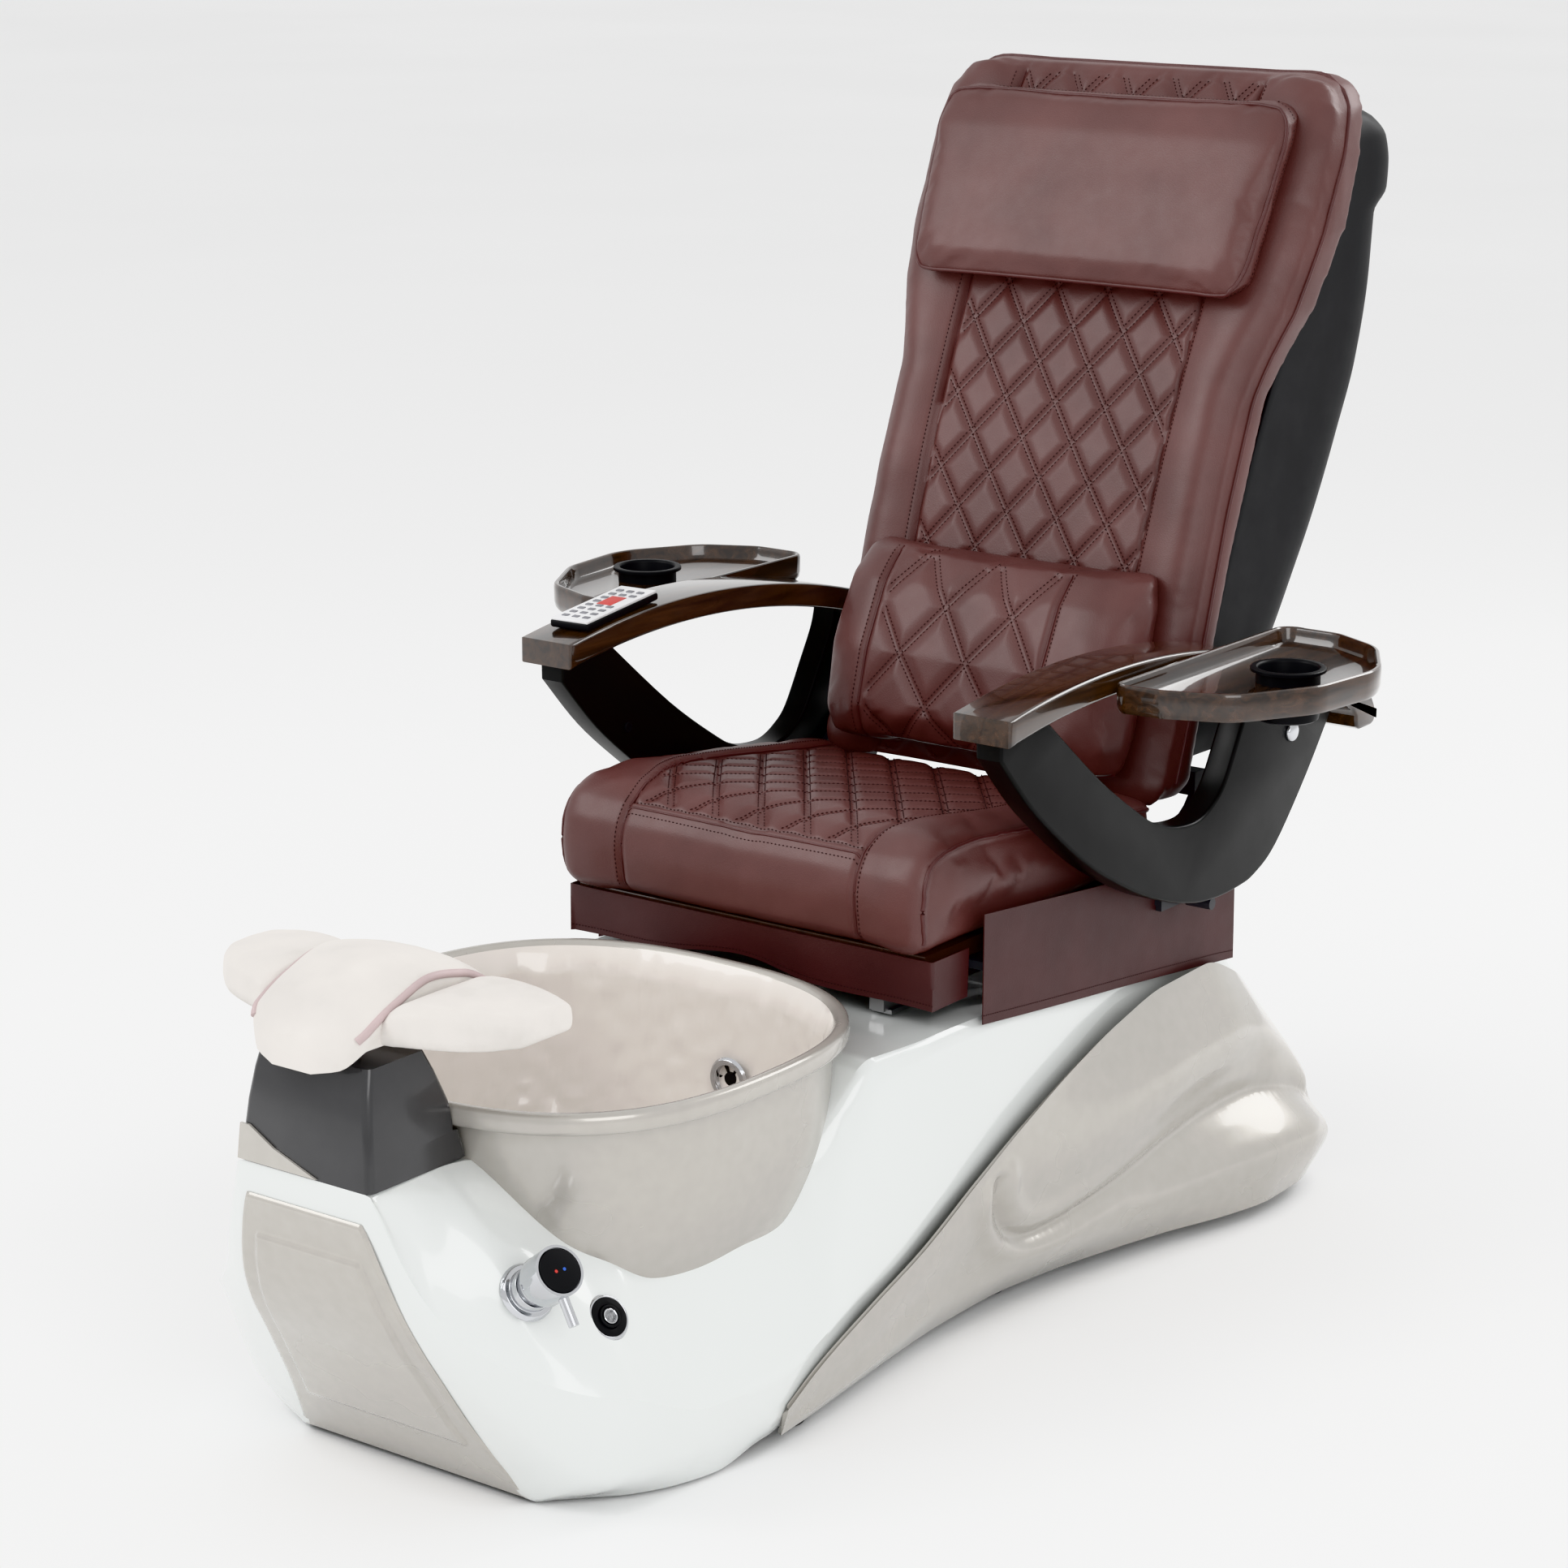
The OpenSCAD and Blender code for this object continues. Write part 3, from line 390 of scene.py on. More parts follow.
def tint(m, low, high, scale, detail=4.0, at=(0.35, 0.65), stretch=(1, 1, 1)):
    """Colour that drifts between two tones."""
    space = coordinates(m, stretch)
    cloud = add(m, "TexNoise", Scale=scale, Detail=detail)
    ramp = add(m, "ValToRGB")
    ramp.color_ramp.elements[0].position, ramp.color_ramp.elements[1].position = at
    ramp.color_ramp.elements[0].color = (*low, 1)
    ramp.color_ramp.elements[1].color = (*high, 1)
    join(m, space, "Vector", cloud, "Vector")
    join(m, cloud, "Fac", ramp, "Fac")
    join(m, ramp, "Color", m.node_tree.nodes["Principled BSDF"], "Base Color")
    return ramp


def roughen(m, low, high, scale, stretch=(1, 1, 1)):
    space = coordinates(m, stretch)
    cloud = add(m, "TexNoise", Scale=scale, Detail=3.0)
    span = add(m, "MapRange")
    span.inputs["To Min"].default_value = low
    span.inputs["To Max"].default_value = high
    join(m, space, "Vector", cloud, "Vector")
    join(m, cloud, "Fac", span, "Value")
    join(m, span, "Result", m.node_tree.nodes["Principled BSDF"], "Roughness")


def bump(m, layers, distance=0.0004):
    """layers: (texture kind, scale, strength). Each bump feeds the next."""
    before = None
    for kind, scale, strength in layers:
        space = coordinates(m)
        texture = add(m, "Tex" + kind, Scale=scale)
        node = add(m, "Bump", Strength=strength, Distance=distance)
        join(m, space, "Vector", texture, "Vector")
        join(m, texture, "Distance" if kind == "Voronoi" else "Fac", node, "Height")
        if before:
            join(m, before, "Normal", node, "Normal")
        before = node
    join(m, before, "Normal", m.node_tree.nodes["Principled BSDF"], "Normal")


def leather(name, color, rough=0.40):
    m = material(name, color, rough, specular=0.45)
    tint(m, [c * 0.88 for c in color], [c * 1.10 for c in color], 9.0)
    roughen(m, rough - 0.05, rough + 0.07, 40.0)
    bump(m, [("Voronoi", 620.0, 0.22), ("Noise", 1500.0, 0.12), ("Noise", 60.0, 0.10)], 0.0005)
    return m


def gelcoat(name, color, rough=0.16):
    m = material(name, color, rough, coat=0.7, coat_rough=0.05)
    tint(m, [c * 0.965 for c in color], color, 2.2, 2.0)
    roughen(m, rough - 0.03, rough + 0.07, 14.0)
    bump(m, [("Noise", 26.0, 0.05), ("Noise", 240.0, 0.04)], 0.0006)
    return m


def pearl(name, color):
    m = material(name, color, 0.27, metal=0.30, coat=0.8, coat_rough=0.07)
    flakes = add(m, "TexNoise", Scale=60.0, Detail=1.0)
    ramp = add(m, "ValToRGB")
    ramp.color_ramp.elements[0].color = (*[c * 0.95 for c in color], 1)
    ramp.color_ramp.elements[1].color = (*[min(1, c * 1.05) for c in color], 1)
    space = coordinates(m)
    join(m, space, "Vector", flakes, "Vector")
    join(m, flakes, "Fac", ramp, "Fac")
    join(m, ramp, "Color", m.node_tree.nodes["Principled BSDF"], "Base Color")
    roughen(m, 0.24, 0.30, 6.0)
    return m


def lacquer(name, dark, light):
    """Dark walnut grain under a clear gloss coat."""
    m = material(name, dark, 0.24, coat=1.0, coat_rough=0.03)
    space = coordinates(m, (34, 2.2, 34))
    grain = add(m, "TexNoise", Scale=2.4, Detail=9.0, Roughness=0.62, Distortion=0.9)
    ramp = add(m, "ValToRGB")
    ramp.color_ramp.elements[0].position, ramp.color_ramp.elements[1].position = 0.38, 0.68
    ramp.color_ramp.elements[0].color = (*dark, 1)
    ramp.color_ramp.elements[1].color = (*light, 1)
    join(m, space, "Vector", grain, "Vector")
    join(m, grain, "Fac", ramp, "Fac")
    join(m, ramp, "Color", m.node_tree.nodes["Principled BSDF"], "Base Color")
    return m


def metal(name, color, rough, stretch=(1, 1, 1)):
    m = material(name, color, rough, metal=1.0)
    roughen(m, max(rough - 0.03, 0.02), rough + 0.06, 90.0, stretch)
    bump(m, [("Noise", 320.0, 0.02)], 0.0002)
    return m


def plastic(name, color, rough, grain=900.0, strength=0.10, coat=0.0, specular=0.5):
    m = material(name, color, rough, coat=coat, specular=specular)
    tint(m, [c * 0.9 for c in color], [min(1, c * 1.08) for c in color], 12.0)
    roughen(m, max(rough - 0.05, 0.05), rough + 0.08, 25.0)
    bump(m, [("Noise", grain, strength)], 0.0003)
    return m


LEATHER = leather("maroon_leather", (0.120, 0.056, 0.053))
SKIRT = leather("skirt_leather", (0.066, 0.028, 0.028), 0.48)
THREAD = plastic("dark_thread", (0.030, 0.011, 0.011), 0.7, 2500.0, 0.3)
PIPING = leather("piping_leather", (0.095, 0.038, 0.037), 0.38)
WHITE = gelcoat("white_gelcoat", (0.70, 0.72, 0.71))
PEARL = pearl("pearl_gelcoat", (0.44, 0.42, 0.388))
CREAM = gelcoat("cream_bowl", (0.73, 0.685, 0.645), 0.22)
CHARCOAL = plastic("charcoal_gloss", (0.045, 0.045, 0.047), 0.18, 300.0, 0.03, coat=0.3)
CHROME = metal("chrome", (0.56, 0.57, 0.59), 0.07)
STEEL = metal("brushed_steel", (0.55, 0.55, 0.56), 0.28, (1, 1, 14))
PAINTED = plastic("powder_coat", (0.045, 0.045, 0.05), 0.45, 1400.0, 0.25)
BLACK = plastic("black_plastic", (0.012, 0.012, 0.013), 0.42, 1100.0, 0.12, specular=0.22)
SATIN = plastic("satin_black", (0.009, 0.009, 0.009), 0.32, 700.0, 0.04, specular=0.24)
RUBBER = plastic("rubber", (0.02, 0.02, 0.02), 0.75, 1500.0, 0.2)
BRASS = metal("brass", (0.60, 0.42, 0.16), 0.25)
PIPE = plastic("grey_pipe", (0.32, 0.32, 0.34), 0.5)
FOAM = plastic("ivory_foam", (0.66, 0.63, 0.60), 0.6, 900.0, 0.22)
# A darker pink-grey foam for the saddle's rim tubes: painted shade where the saddle's top turns down.
FOAM_PAINTED_SHADE = plastic("ivory_foam_painted_shade", (0.50, 0.40, 0.40), 0.5, 900.0, 0.22)
WALNUT = lacquer("walnut_lacquer", (0.014, 0.0075, 0.0045), (0.062, 0.030, 0.016))
PLYWOOD = lacquer("stained_plywood", (0.030, 0.014, 0.012), (0.060, 0.028, 0.022))
KEY_WHITE = plastic("handset_white", (0.72, 0.72, 0.73), 0.25, 500.0, 0.03, coat=0.4)
KEY_GREY = plastic("handset_grey", (0.22, 0.22, 0.24), 0.5)
KEY_RED = plastic("handset_red", (0.55, 0.05, 0.04), 0.45)
KEY_BLUE = plastic("mark_blue", (0.04, 0.12, 0.50), 0.4)

# ---------- base ----------
# Half sections of the base in millimetres: y, then (x, z) from the deck's middle to the floor edge.
BASE_ROWS = [
    (-872, [(0, 374), (84, 374), (92, 372), (94, 366), (93, 354), (90, 338)]),
    (-852, [(0, 374), (84, 374), (108, 328), (130, 280), (124, 264), (113, 250)]),
    (-833, [(0, 374), (86, 374), (126, 306), (152, 238), (140, 218), (122, 205)]),
    (-807, [(0, 374), (88, 374), (150, 290), (186, 203), (160, 174), (127, 160)]),
    (-772, [(0, 374), (90, 374), (182, 282), (229, 174), (190, 122), (135, 100)]),
    (-740, [(0, 374), (92, 372), (190, 276), (261, 158), (216, 78), (150, 45)]),
    (-712, [(0, 370), (96, 366), (196, 268), (281, 150), (240, 52), (167, 4)]),
    (-680, [(0, 350), (115, 340), (204, 256), (291, 138), (260, 45), (195, 4)]),
    (-640, [(0, 325), (160, 302), (224, 238), (294, 118), (274, 45), (232, 4)]),
    (-590, [(0, 300), (200, 265), (238, 210), (295, 100), (284, 45), (258, 4)]),
    (-540, [(0, 300), (215, 262), (250, 205), (296, 95), (287, 42), (270, 4)]),
    (-465, [(0, 300), (225, 262), (258, 205), (296, 90), (290, 42), (274, 16)]),
    (-400, [(0, 300), (220, 268), (256, 205), (294, 104), (284, 50), (262, 16)]),
    (-345, [(0, 320), (235, 300), (263, 244), (291, 122), (278, 60), (250, 16)]),
    (-300, [(0, 350), (246, 345), (268, 298), (290, 136), (272, 70), (240, 16)]),
    (-250, [(0, 384), (258, 384), (276, 325), (290, 150), (268, 75), (232, 16)]),
    (-150, [(0, 386), (268, 384), (280, 325), (287, 190), (262, 90), (228, 16)]),
    (-50, [(0, 386), (268, 382), (280, 335), (284, 228), (258, 100), (226, 16)]),
    (100, [(0, 378), (264, 374), (276, 340), (280, 284), (250, 120), (226, 16)]),
    (250, [(0, 370), (258, 364), (268, 348), (272, 326), (245, 130), (226, 16)]),
    (400, [(0, 360), (250, 350), (262, 342), (265, 330), (240, 130), (226, 16)]),
    (500, [(0, 340), (244, 326), (256, 312), (260, 290), (238, 110), (226, 16)]),
    (560, [(0, 300), (236, 280), (250, 258), (254, 225), (236, 90), (224, 16)]),
    (600, [(0, 240), (228, 215), (240, 196), (244, 170), (232, 80), (222, 16)])]
LIP = 10
BOWL_CENTRE_Y, BOWL_RADIUS, BOWL_POWER = -460, 285, 2.6
BOWL_OUTSIDE = [(0.20, 122), (0.42, 127), (0.60, 143), (0.74, 172), (0.84, 212), (0.90, 262), (0.938, 325),
                (0.95, 400)]
BOWL_RIM = [(0.955, 408), (1.0, 410), (1.008, 420), (1.0, 430), (0.97, 432), (0.945, 426)]
BOWL_INSIDE = [(0.917, 400), (0.907, 325), (0.869, 262), (0.809, 214), (0.709, 177), (0.569, 149),
               (0.399, 133),
               (0.20, 129)]


def bowl_ring(s, z, grow=0.0, count=192):
    ring = []
    for k in range(count):
        a = 2 * pi * k / count
        c, d = abs(cos(a)), abs(sin(a))
        r = (BOWL_RADIUS * s + grow) * (c ** BOWL_POWER + d ** BOWL_POWER) ** (-1 / BOWL_POWER)
        ring.append(Vector((r * cos(a), BOWL_CENTRE_Y + r * sin(a), z)) * MM)
    return ring


def make_base():
    section = rows_at(BASE_ROWS)
    stations = spread(-872, -700, 52) + spread(-694, -240, 84) + spread(-232, 600, 90)
    rings = []
    for y in stations:
        p = section(y)
        top = [p[0]] + [tuple(p[0][k] + (p[1][k] - p[0][k]) * i / 5 for k in (0, 1)) for i in range(1, 5)]
        # A guide point as near the edge as the next one down, so that the curve doesn't bulge there.
        part = min(hypot(p[2][0] - p[1][0], p[2][1] - p[1][1]) / p[1][0], 1.0)
        guide = tuple(p[1][k] + (p[0][k] - p[1][k]) * part for k in (0, 1))
        flank = catmull([guide, p[1], p[2], p[3]], 8)[8:]
        under = catmull([p[3], p[4], p[5]], 7)[1:]
        half = top + flank + under + [(p[5][0] - LIP, p[5][1])]
        ring = [(-x, z) for x, z in half[:0:-1]] + half
        rings.append([Vector((x, y, z)) * MM for x, z in ring])
    shell = loft("base_shell_look", rings, closed=False, caps=(True, False), sharp=28)
    modify(shell, "SOLIDIFY", thickness=0.0045, offset=-1.0)
    # The bowl's place, cut just inside the bowl's own wall.
    hole = [bowl_ring(0.1, 110)] + [bowl_ring(s, z, -3) for s, z in BOWL_OUTSIDE] + [bowl_ring(0.96, 480, -3)]
    cutter = loft("cutter", hole)
    cut(shell, cutter)
    shade(shell, 28)
    return place(shell, "base", WHITE, "gelcoat_white", "base_shell")


def make_bowl():
    profile = catmull(BOWL_OUTSIDE, 6)[:-1] + catmull(BOWL_RIM, 5)[:-1] + catmull(BOWL_INSIDE, 7)
    rings = [bowl_ring(s, z, 0.0, 256) for s, z in profile]
    first_inside = len(rings) - len(catmull(BOWL_INSIDE, 7))
    for j, ring in enumerate(rings):
        if j < first_inside:
            continue
        for i, p in enumerate(ring):
            # The upper rear wall is finished with a hammered texture.
            weight = ease((p.y + 0.50) / 0.16) * ease((p.z - 0.16) / 0.10) * ease((0.425 - p.z) / 0.02)
            if weight > 0:
                centre = Vector((0, BOWL_CENTRE_Y * MM, p.z))
                bumps = noise.noise(p * 62) + 0.6 * noise.noise(p * 130)
                ring[i] = p + (centre - p).normalized() * 0.0028 * bumps * weight
    bowl = loft("bowl_look", rings, sharp=60)
    place(bowl, "base", CREAM, "bowl_cream", "bowl")
    bowl.data.materials.append(PEARL)
    for face in bowl.data.polygons:
        c = face.center
        flat = Vector((c.x, c.y - BOWL_CENTRE_Y * MM, 0))
        if face.normal.dot(flat) > 0 or c.z > 0.424:
            face.material_index = 1
    return bowl


POD_ROWS = [
    (-452, [(290, 44), (298, 50), (296, 42), (293, 33), (291, 26), (288, 18)]),
    (-400, [(289, 64), (300, 80), (297, 62), (293, 46), (290, 30), (283, 18)]),
    (-300, [(289, 94), (301, 120), (297, 92), (291, 66), (286, 38), (271, 18)]),
    (-200, [(288, 122), (302, 157), (296, 120), (286, 86), (279, 48), (259, 18)]),
    (-100, [(290, 160), (302, 204), (298, 158), (286, 108), (275, 60), (250, 18)]),
    (0, [(290, 200), (302, 249), (306, 180), (292, 104), (280, 60), (248, 18)]),
    (100, [(286, 240), (301, 287), (318, 196), (300, 106), (296, 62), (258, 18)]),
    (200, [(284, 270), (299, 316), (328, 216), (306, 121), (312, 70), (278, 18)]),
    (300, [(282, 290), (296, 333), (334, 236), (310, 142), (332, 80), (303, 18)]),
    (400, [(278, 290), (292, 334), (334, 246), (314, 156), (354, 90), (335, 18)]),
    (480, [(272, 264), (286, 306), (328, 236), (320, 157), (370, 94), (352, 20)]),
    (540, [(264, 222), (278, 260), (322, 208), (330, 142), (375, 90), (352, 22)]),
    (600, [(256, 150), (266, 184), (316, 158), (330, 116), (361, 76), (338, 26)]),
    (645, [(246, 90), (256, 104), (296, 92), (312, 80), (326, 62), (308, 30)])]
# The groove round the upper lobe, in (y, z): down its front end and back along its lower side.
POD_GROOVE = [(-57, 190), (-56, 162), (-42, 137), (-17, 114), (19, 101), (70, 101), (129, 109), (196, 120),
              (267, 135), (312, 144), (391, 155), (473, 156), (559, 139), (610, 113)]


def make_pod(side, node):
    section = rows_at(POD_ROWS)
    path = [Vector(p) for p in catmull(POD_GROOVE, 8)]
    rings = []
    for y in spread(-452, 645, 260):
        p = section(y)
        across = p[:1] + catmull(p[1:], 20)
        ring = []
        for i, (x, z) in enumerate(across):
            here = Vector((y, z))
            near = min((here - q).length for q in path)
            front = ease((260 - y) / 240)
            dent = (4.0 + 5.0 * front) * exp(-(near / 9) ** 2)
            swell = (2.0 + 4.0 * front) * exp(-((near - 24) / 13) ** 2)
            ring.append(Vector((side * (x + (swell - dent) * ease((i - 6) / 12)), y, z)) * MM)
        rings.append(ring)
    pod = loft("pod_" + node, rings, closed=False, sharp=35)
    modify(pod, "SOLIDIFY", thickness=0.005, offset=-1.0)
    shade(pod, 35)
    return place(pod, "base", PEARL, "pearl", node)


FRONT_ROWS = [(8, 162, -714), (50, 146, -741), (100, 132, -772), (160, 124, -807), (205, 119, -833),
              (250, 110, -852), (300, 96, -865), (334, 84, -871), (341, 80, -872.2)]


def make_front_panel():
    """The panel, with a raised field inside it."""
    heights = [r[0] for r in FRONT_ROWS]
    width = monotone(heights, [r[1] for r in FRONT_ROWS])
    face = monotone(heights, [r[2] for r in FRONT_ROWS])
    rings = []
    for z in spread(8, 341, 112):
        w = width(z)
        ring = []
        for u in spread(-1, 1, 91):
            x = u * w
            rise = ease((w - abs(x) - 24) / 5) * ease((z - 68) / 5) * ease((298 - z) / 5)
            edge = ease((w - abs(x)) / 4) * ease((341 - z) / 4)
            ring.append(Vector((x, face(z) - 1.0 - 4.0 * edge - 4.4 * rise, z)) * MM)
        rings.append(ring)
    panel = loft("front_panel_look", rings, closed=False, caps=(False, False), sharp=50)
    modify(panel, "SOLIDIFY", thickness=0.003, offset=-1.0)
    shade(panel, 50)
    return place(panel, "base", PEARL, "pearl", "front_panel")


def make_pedestal():
    """Gloss block under the footrest: rounded rectangular plan narrowing upwards, cut to the bowl."""
    levels = [(374.3, 91, -872, -722), (400, 89.5, -870, -730), (440, 85, -866, -742), (474, 80, -860, -756),
              (498, 76, -853, -768)]
    rings = []
    for z, w, front, rear in levels:
        r = 9
        corners = [(-w, front), (w, front), (w, rear), (-w, rear)]
        ring = []
        for k, (x, y) in enumerate(corners):
            sx, sy = (1 if x > 0 else -1), (1 if k > 1 else -1)
            turn = {0: 180, 1: 270, 2: 0, 3: 90}[k]
            for a in spread(turn, turn + 90, 6):
                ring.append(Vector((x - sx * r + r * cos(radians(a)),
                                    y - sy * r + r * sin(radians(a)), z)) * MM)
        rings.append(ring)
    block = loft("pedestal_look", rings, sharp=50)
    cutter = loft("cutter", [bowl_ring(0.955, 360, 2), bowl_ring(0.955, 404, 2), bowl_ring(1.008, 407, 2),
                             bowl_ring(1.008, 450, 2)])
    cut(block, cutter)
    shade(block, 40)
    return place(block, "base", CHARCOAL, "charcoal", "pedestal_cover")


# ---------- soft goods ----------
def soften(node, voxel, shrink, cap, rounds=6, pressure=4.0):
    """A CAD soft solid, remeshed, rounded and blown up a little as cloth."""
    obj = copy_node(node)
    modify(obj, "REMESH", mode="VOXEL", voxel_size=voxel)
    modify(obj, "SMOOTH", factor=0.5, iterations=rounds)
    press(obj, lambda p, n: -shrink)
    rest = [v.co.copy() for v in obj.data.vertices]
    scene = bpy.context.scene
    cloth = obj.modifiers.new("cloth", "CLOTH")
    cloth.settings.use_pressure = True
    cloth.settings.uniform_pressure_force = pressure
    cloth.settings.effector_weights.gravity = 0.0
    cloth.settings.quality = 4
    cloth.point_cache.frame_start, cloth.point_cache.frame_end = 1, 20
    for number in range(1, 21):
        scene.frame_set(number)
    flatten(obj)
    scene.frame_set(1)
    for v, before in zip(obj.data.vertices, rest):
        move = v.co - before
        if move.length > cap:
            v.co = before + move.normalized() * cap
    modify(obj, "SMOOTH", factor=0.5, iterations=3)
    modify(obj, "SUBSURF", levels=1, render_levels=1, subdivision_type="CATMULL_CLARK")
    return shade(obj, 80)


def round_corners(obj, half, low, high, radius):
    """Draws a soft piece's corners in to a radius, seen from the front."""
    count = len(obj.data.vertices)
    flat = [0.0] * (3 * count)
    obj.data.vertices.foreach_get("co", flat)
    for i in range(0, 3 * count, 3):
        x, z = flat[i], flat[i + 2]
        for top, end in ((1, high), (-1, low)):
            dx, dz = abs(x) - (half(z) - radius), top * (z - end) + radius
            reach = hypot(dx, dz)
            if dx > 0 and dz > 0 and reach > radius:
                flat[i] = (half(z) - radius + dx * radius / reach) * (1 if x > 0 else -1)
                flat[i + 2] = end - top * radius + top * dz * radius / reach
    obj.data.vertices.foreach_set("co", flat)
    obj.data.update()
    return obj


def back_front(z):
    """y of the back cushion's front face at a height, in millimetres."""
    return BACK_LINE(z)


BACK_LINE = monotone([530, 640, 730, 823, 868, 914, 960, 1005, 1051, 1110, 1200, 1300, 1350, 1392],
                     [342, 382, 412, 441, 455, 472, 490, 508, 527, 554, 596, 640, 664, 690])


def lattice(u, v, wide, tall):
    """Distance in metres to the nearest line of a diamond lattice."""
    scale = 1 / sqrt(1 / wide ** 2 + 1 / tall ** 2)
    a, b = u / wide + v / tall, u / wide - v / tall
    return min(abs(a - round(a)), abs(b - round(b))) * scale


def puff(d, depth, crown=0.015):
    return depth * (sqrt(ease(d / crown)) - 1)


def sew_lattice(thread, u0, u1, v0, v1, wide, tall, inside, surface_point, pitch=0.0055):
    """Double rows of stitches along every lattice line."""
    scale = 1 / sqrt(1 / wide ** 2 + 1 / tall ** 2)
    reach = int(max(abs(u0), abs(u1)) / wide + max(abs(v0), abs(v1)) / tall) + 2
    for sign in (1, -1):
        for k in range(-reach, reach + 1):
            for offset in (-0.0036, 0.0036):
                path = []
                for v in spread(v0, v1, int((v1 - v0) / 0.005) + 2):
                    u = (k + offset / scale - sign * v / tall) * wide
                    path.append(surface_point(u, v) if u0 < u < u1 and inside(u, v) else None)
                run = []
                for p in path + [None]:
                    if p is None:
                        thread.run(run, pitch)
                        run = []
                    else:
                        run.append(p)


DIAMOND_W, DIAMOND_H = 0.0735, 0.098
BACK_X0, BACK_SLOPE = -0.006, 1.09
BACK_V0 = 0.985


def back_seams(z):
    """Left and right edge of the quilted panel, in metres."""
    t = (z - 0.776) / (1.087 - 0.776)
    return -0.172 - 0.003 * t, 0.160 + 0.008 * t


def make_back():
    back = soften("back_cushion", 0.006, 0.001, 0.006)
    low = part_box("back_cushion")[0]

    def shape(p, n):
        if n.y > -0.25:
            return 0.0
        left, right = back_seams(p.z)
        edge = min(p.x - left, right - p.x)
        facing = ease((-n.y - 0.25) / 0.4)
        if edge > 0:
            d = lattice(p.x - BACK_X0, (p.z - BACK_V0) * BACK_SLOPE, DIAMOND_W, DIAMOND_H)
            move = puff(d, 0.0055) * ease(edge / 0.012) - 0.004
        else:
            out = -edge
            half = (262 + 38 * ease((p.z / MM - 1000) / 200)) * MM
            crown = sin(min(max(out / (half - abs(right)), 0), 1) * pi)
            fold = 0.0016 * noise.noise(Vector((p.x * 9, p.z * 22, 3.0))) * crown
            move = 0.010 * crown + fold
        move -= 0.006 * exp(-(edge / 0.0042) ** 2)
        return move * facing

    press(back, shape)
    shade(back, 80)
    place(back, "backrest", LEATHER, "leather_maroon", "back_cushion", padded=0.8)
    tree = surface(back)
    thread = Thread()

    def point(u, v):
        x, z = u + BACK_X0, v / BACK_SLOPE + BACK_V0
        return onto(tree, (x, back_front(z / MM) * MM, z), (0, 1, 0), 0.0004)

    def inside(u, v):
        x, z = u + BACK_X0, v / BACK_SLOPE + BACK_V0
        left, right = back_seams(z)
        return left + 0.006 < x < right - 0.006 and z > low.z + 0.05

    sew_lattice(thread, -0.18, 0.18, (0.62 - BACK_V0) * BACK_SLOPE, (1.37 - BACK_V0) * BACK_SLOPE,
                DIAMOND_W, DIAMOND_H, inside, point)
    heights = spread(0.60, 1.372, 160)
    for side in (0, 1):
        sign = 1 if side else -1
        seam = [onto(tree, (back_seams(z)[side], back_front(z / MM) * MM, z), (0, 1, 0)) for z in heights]
        beside = [onto(tree, (back_seams(z)[side] + sign * 0.007, back_front(z / MM) * MM, z), (0, 1, 0),
                       0.0004)
                  for z in heights]
        seam = [p + Vector((0, 0.0025, 0)) for p in seam if p is not None]
        place(tube("back_seam_%d" % side, seam, 0.0016), "backrest", PIPING, "leather_maroon")
        thread.run(beside)
    thread.obj("back_stitching", "backrest")
    # Piping round the front edge, up one side, across the top and down the other.
    half_at = monotone([532, 1005, 1051, 1110, 1200, 1300, 1350, 1378],
                       [250, 262, 272, 290, 300, 300, 290, 262])
    inset, depth = 5, 34
    side_path = [(half_at(z) - inset, back_front(z) + depth, z) for z in spread(560, 1366, 90)]
    top = [(x, back_front(1386) + depth - 4, 1386 - 5 * abs(x / 262) ** 6) for x in spread(246, -246, 40)]
    path = side_path + top + [(-x, y, z) for x, y, z in side_path[::-1]]
    snapped = [tree.find_nearest(Vector(p) * MM)[0] for p in path]
    place(tube("back_piping", snapped, 0.0028), "backrest", PIPING, "leather_maroon")
    return back


SEAT_CORNER_X, SEAT_FRONT_Y = 0.168, -0.140


def seat_seam(y):
    """Half width of the quilted panel on the seat."""
    return SEAT_CORNER_X + 0.034 * ease((y - SEAT_FRONT_Y) / 0.16)


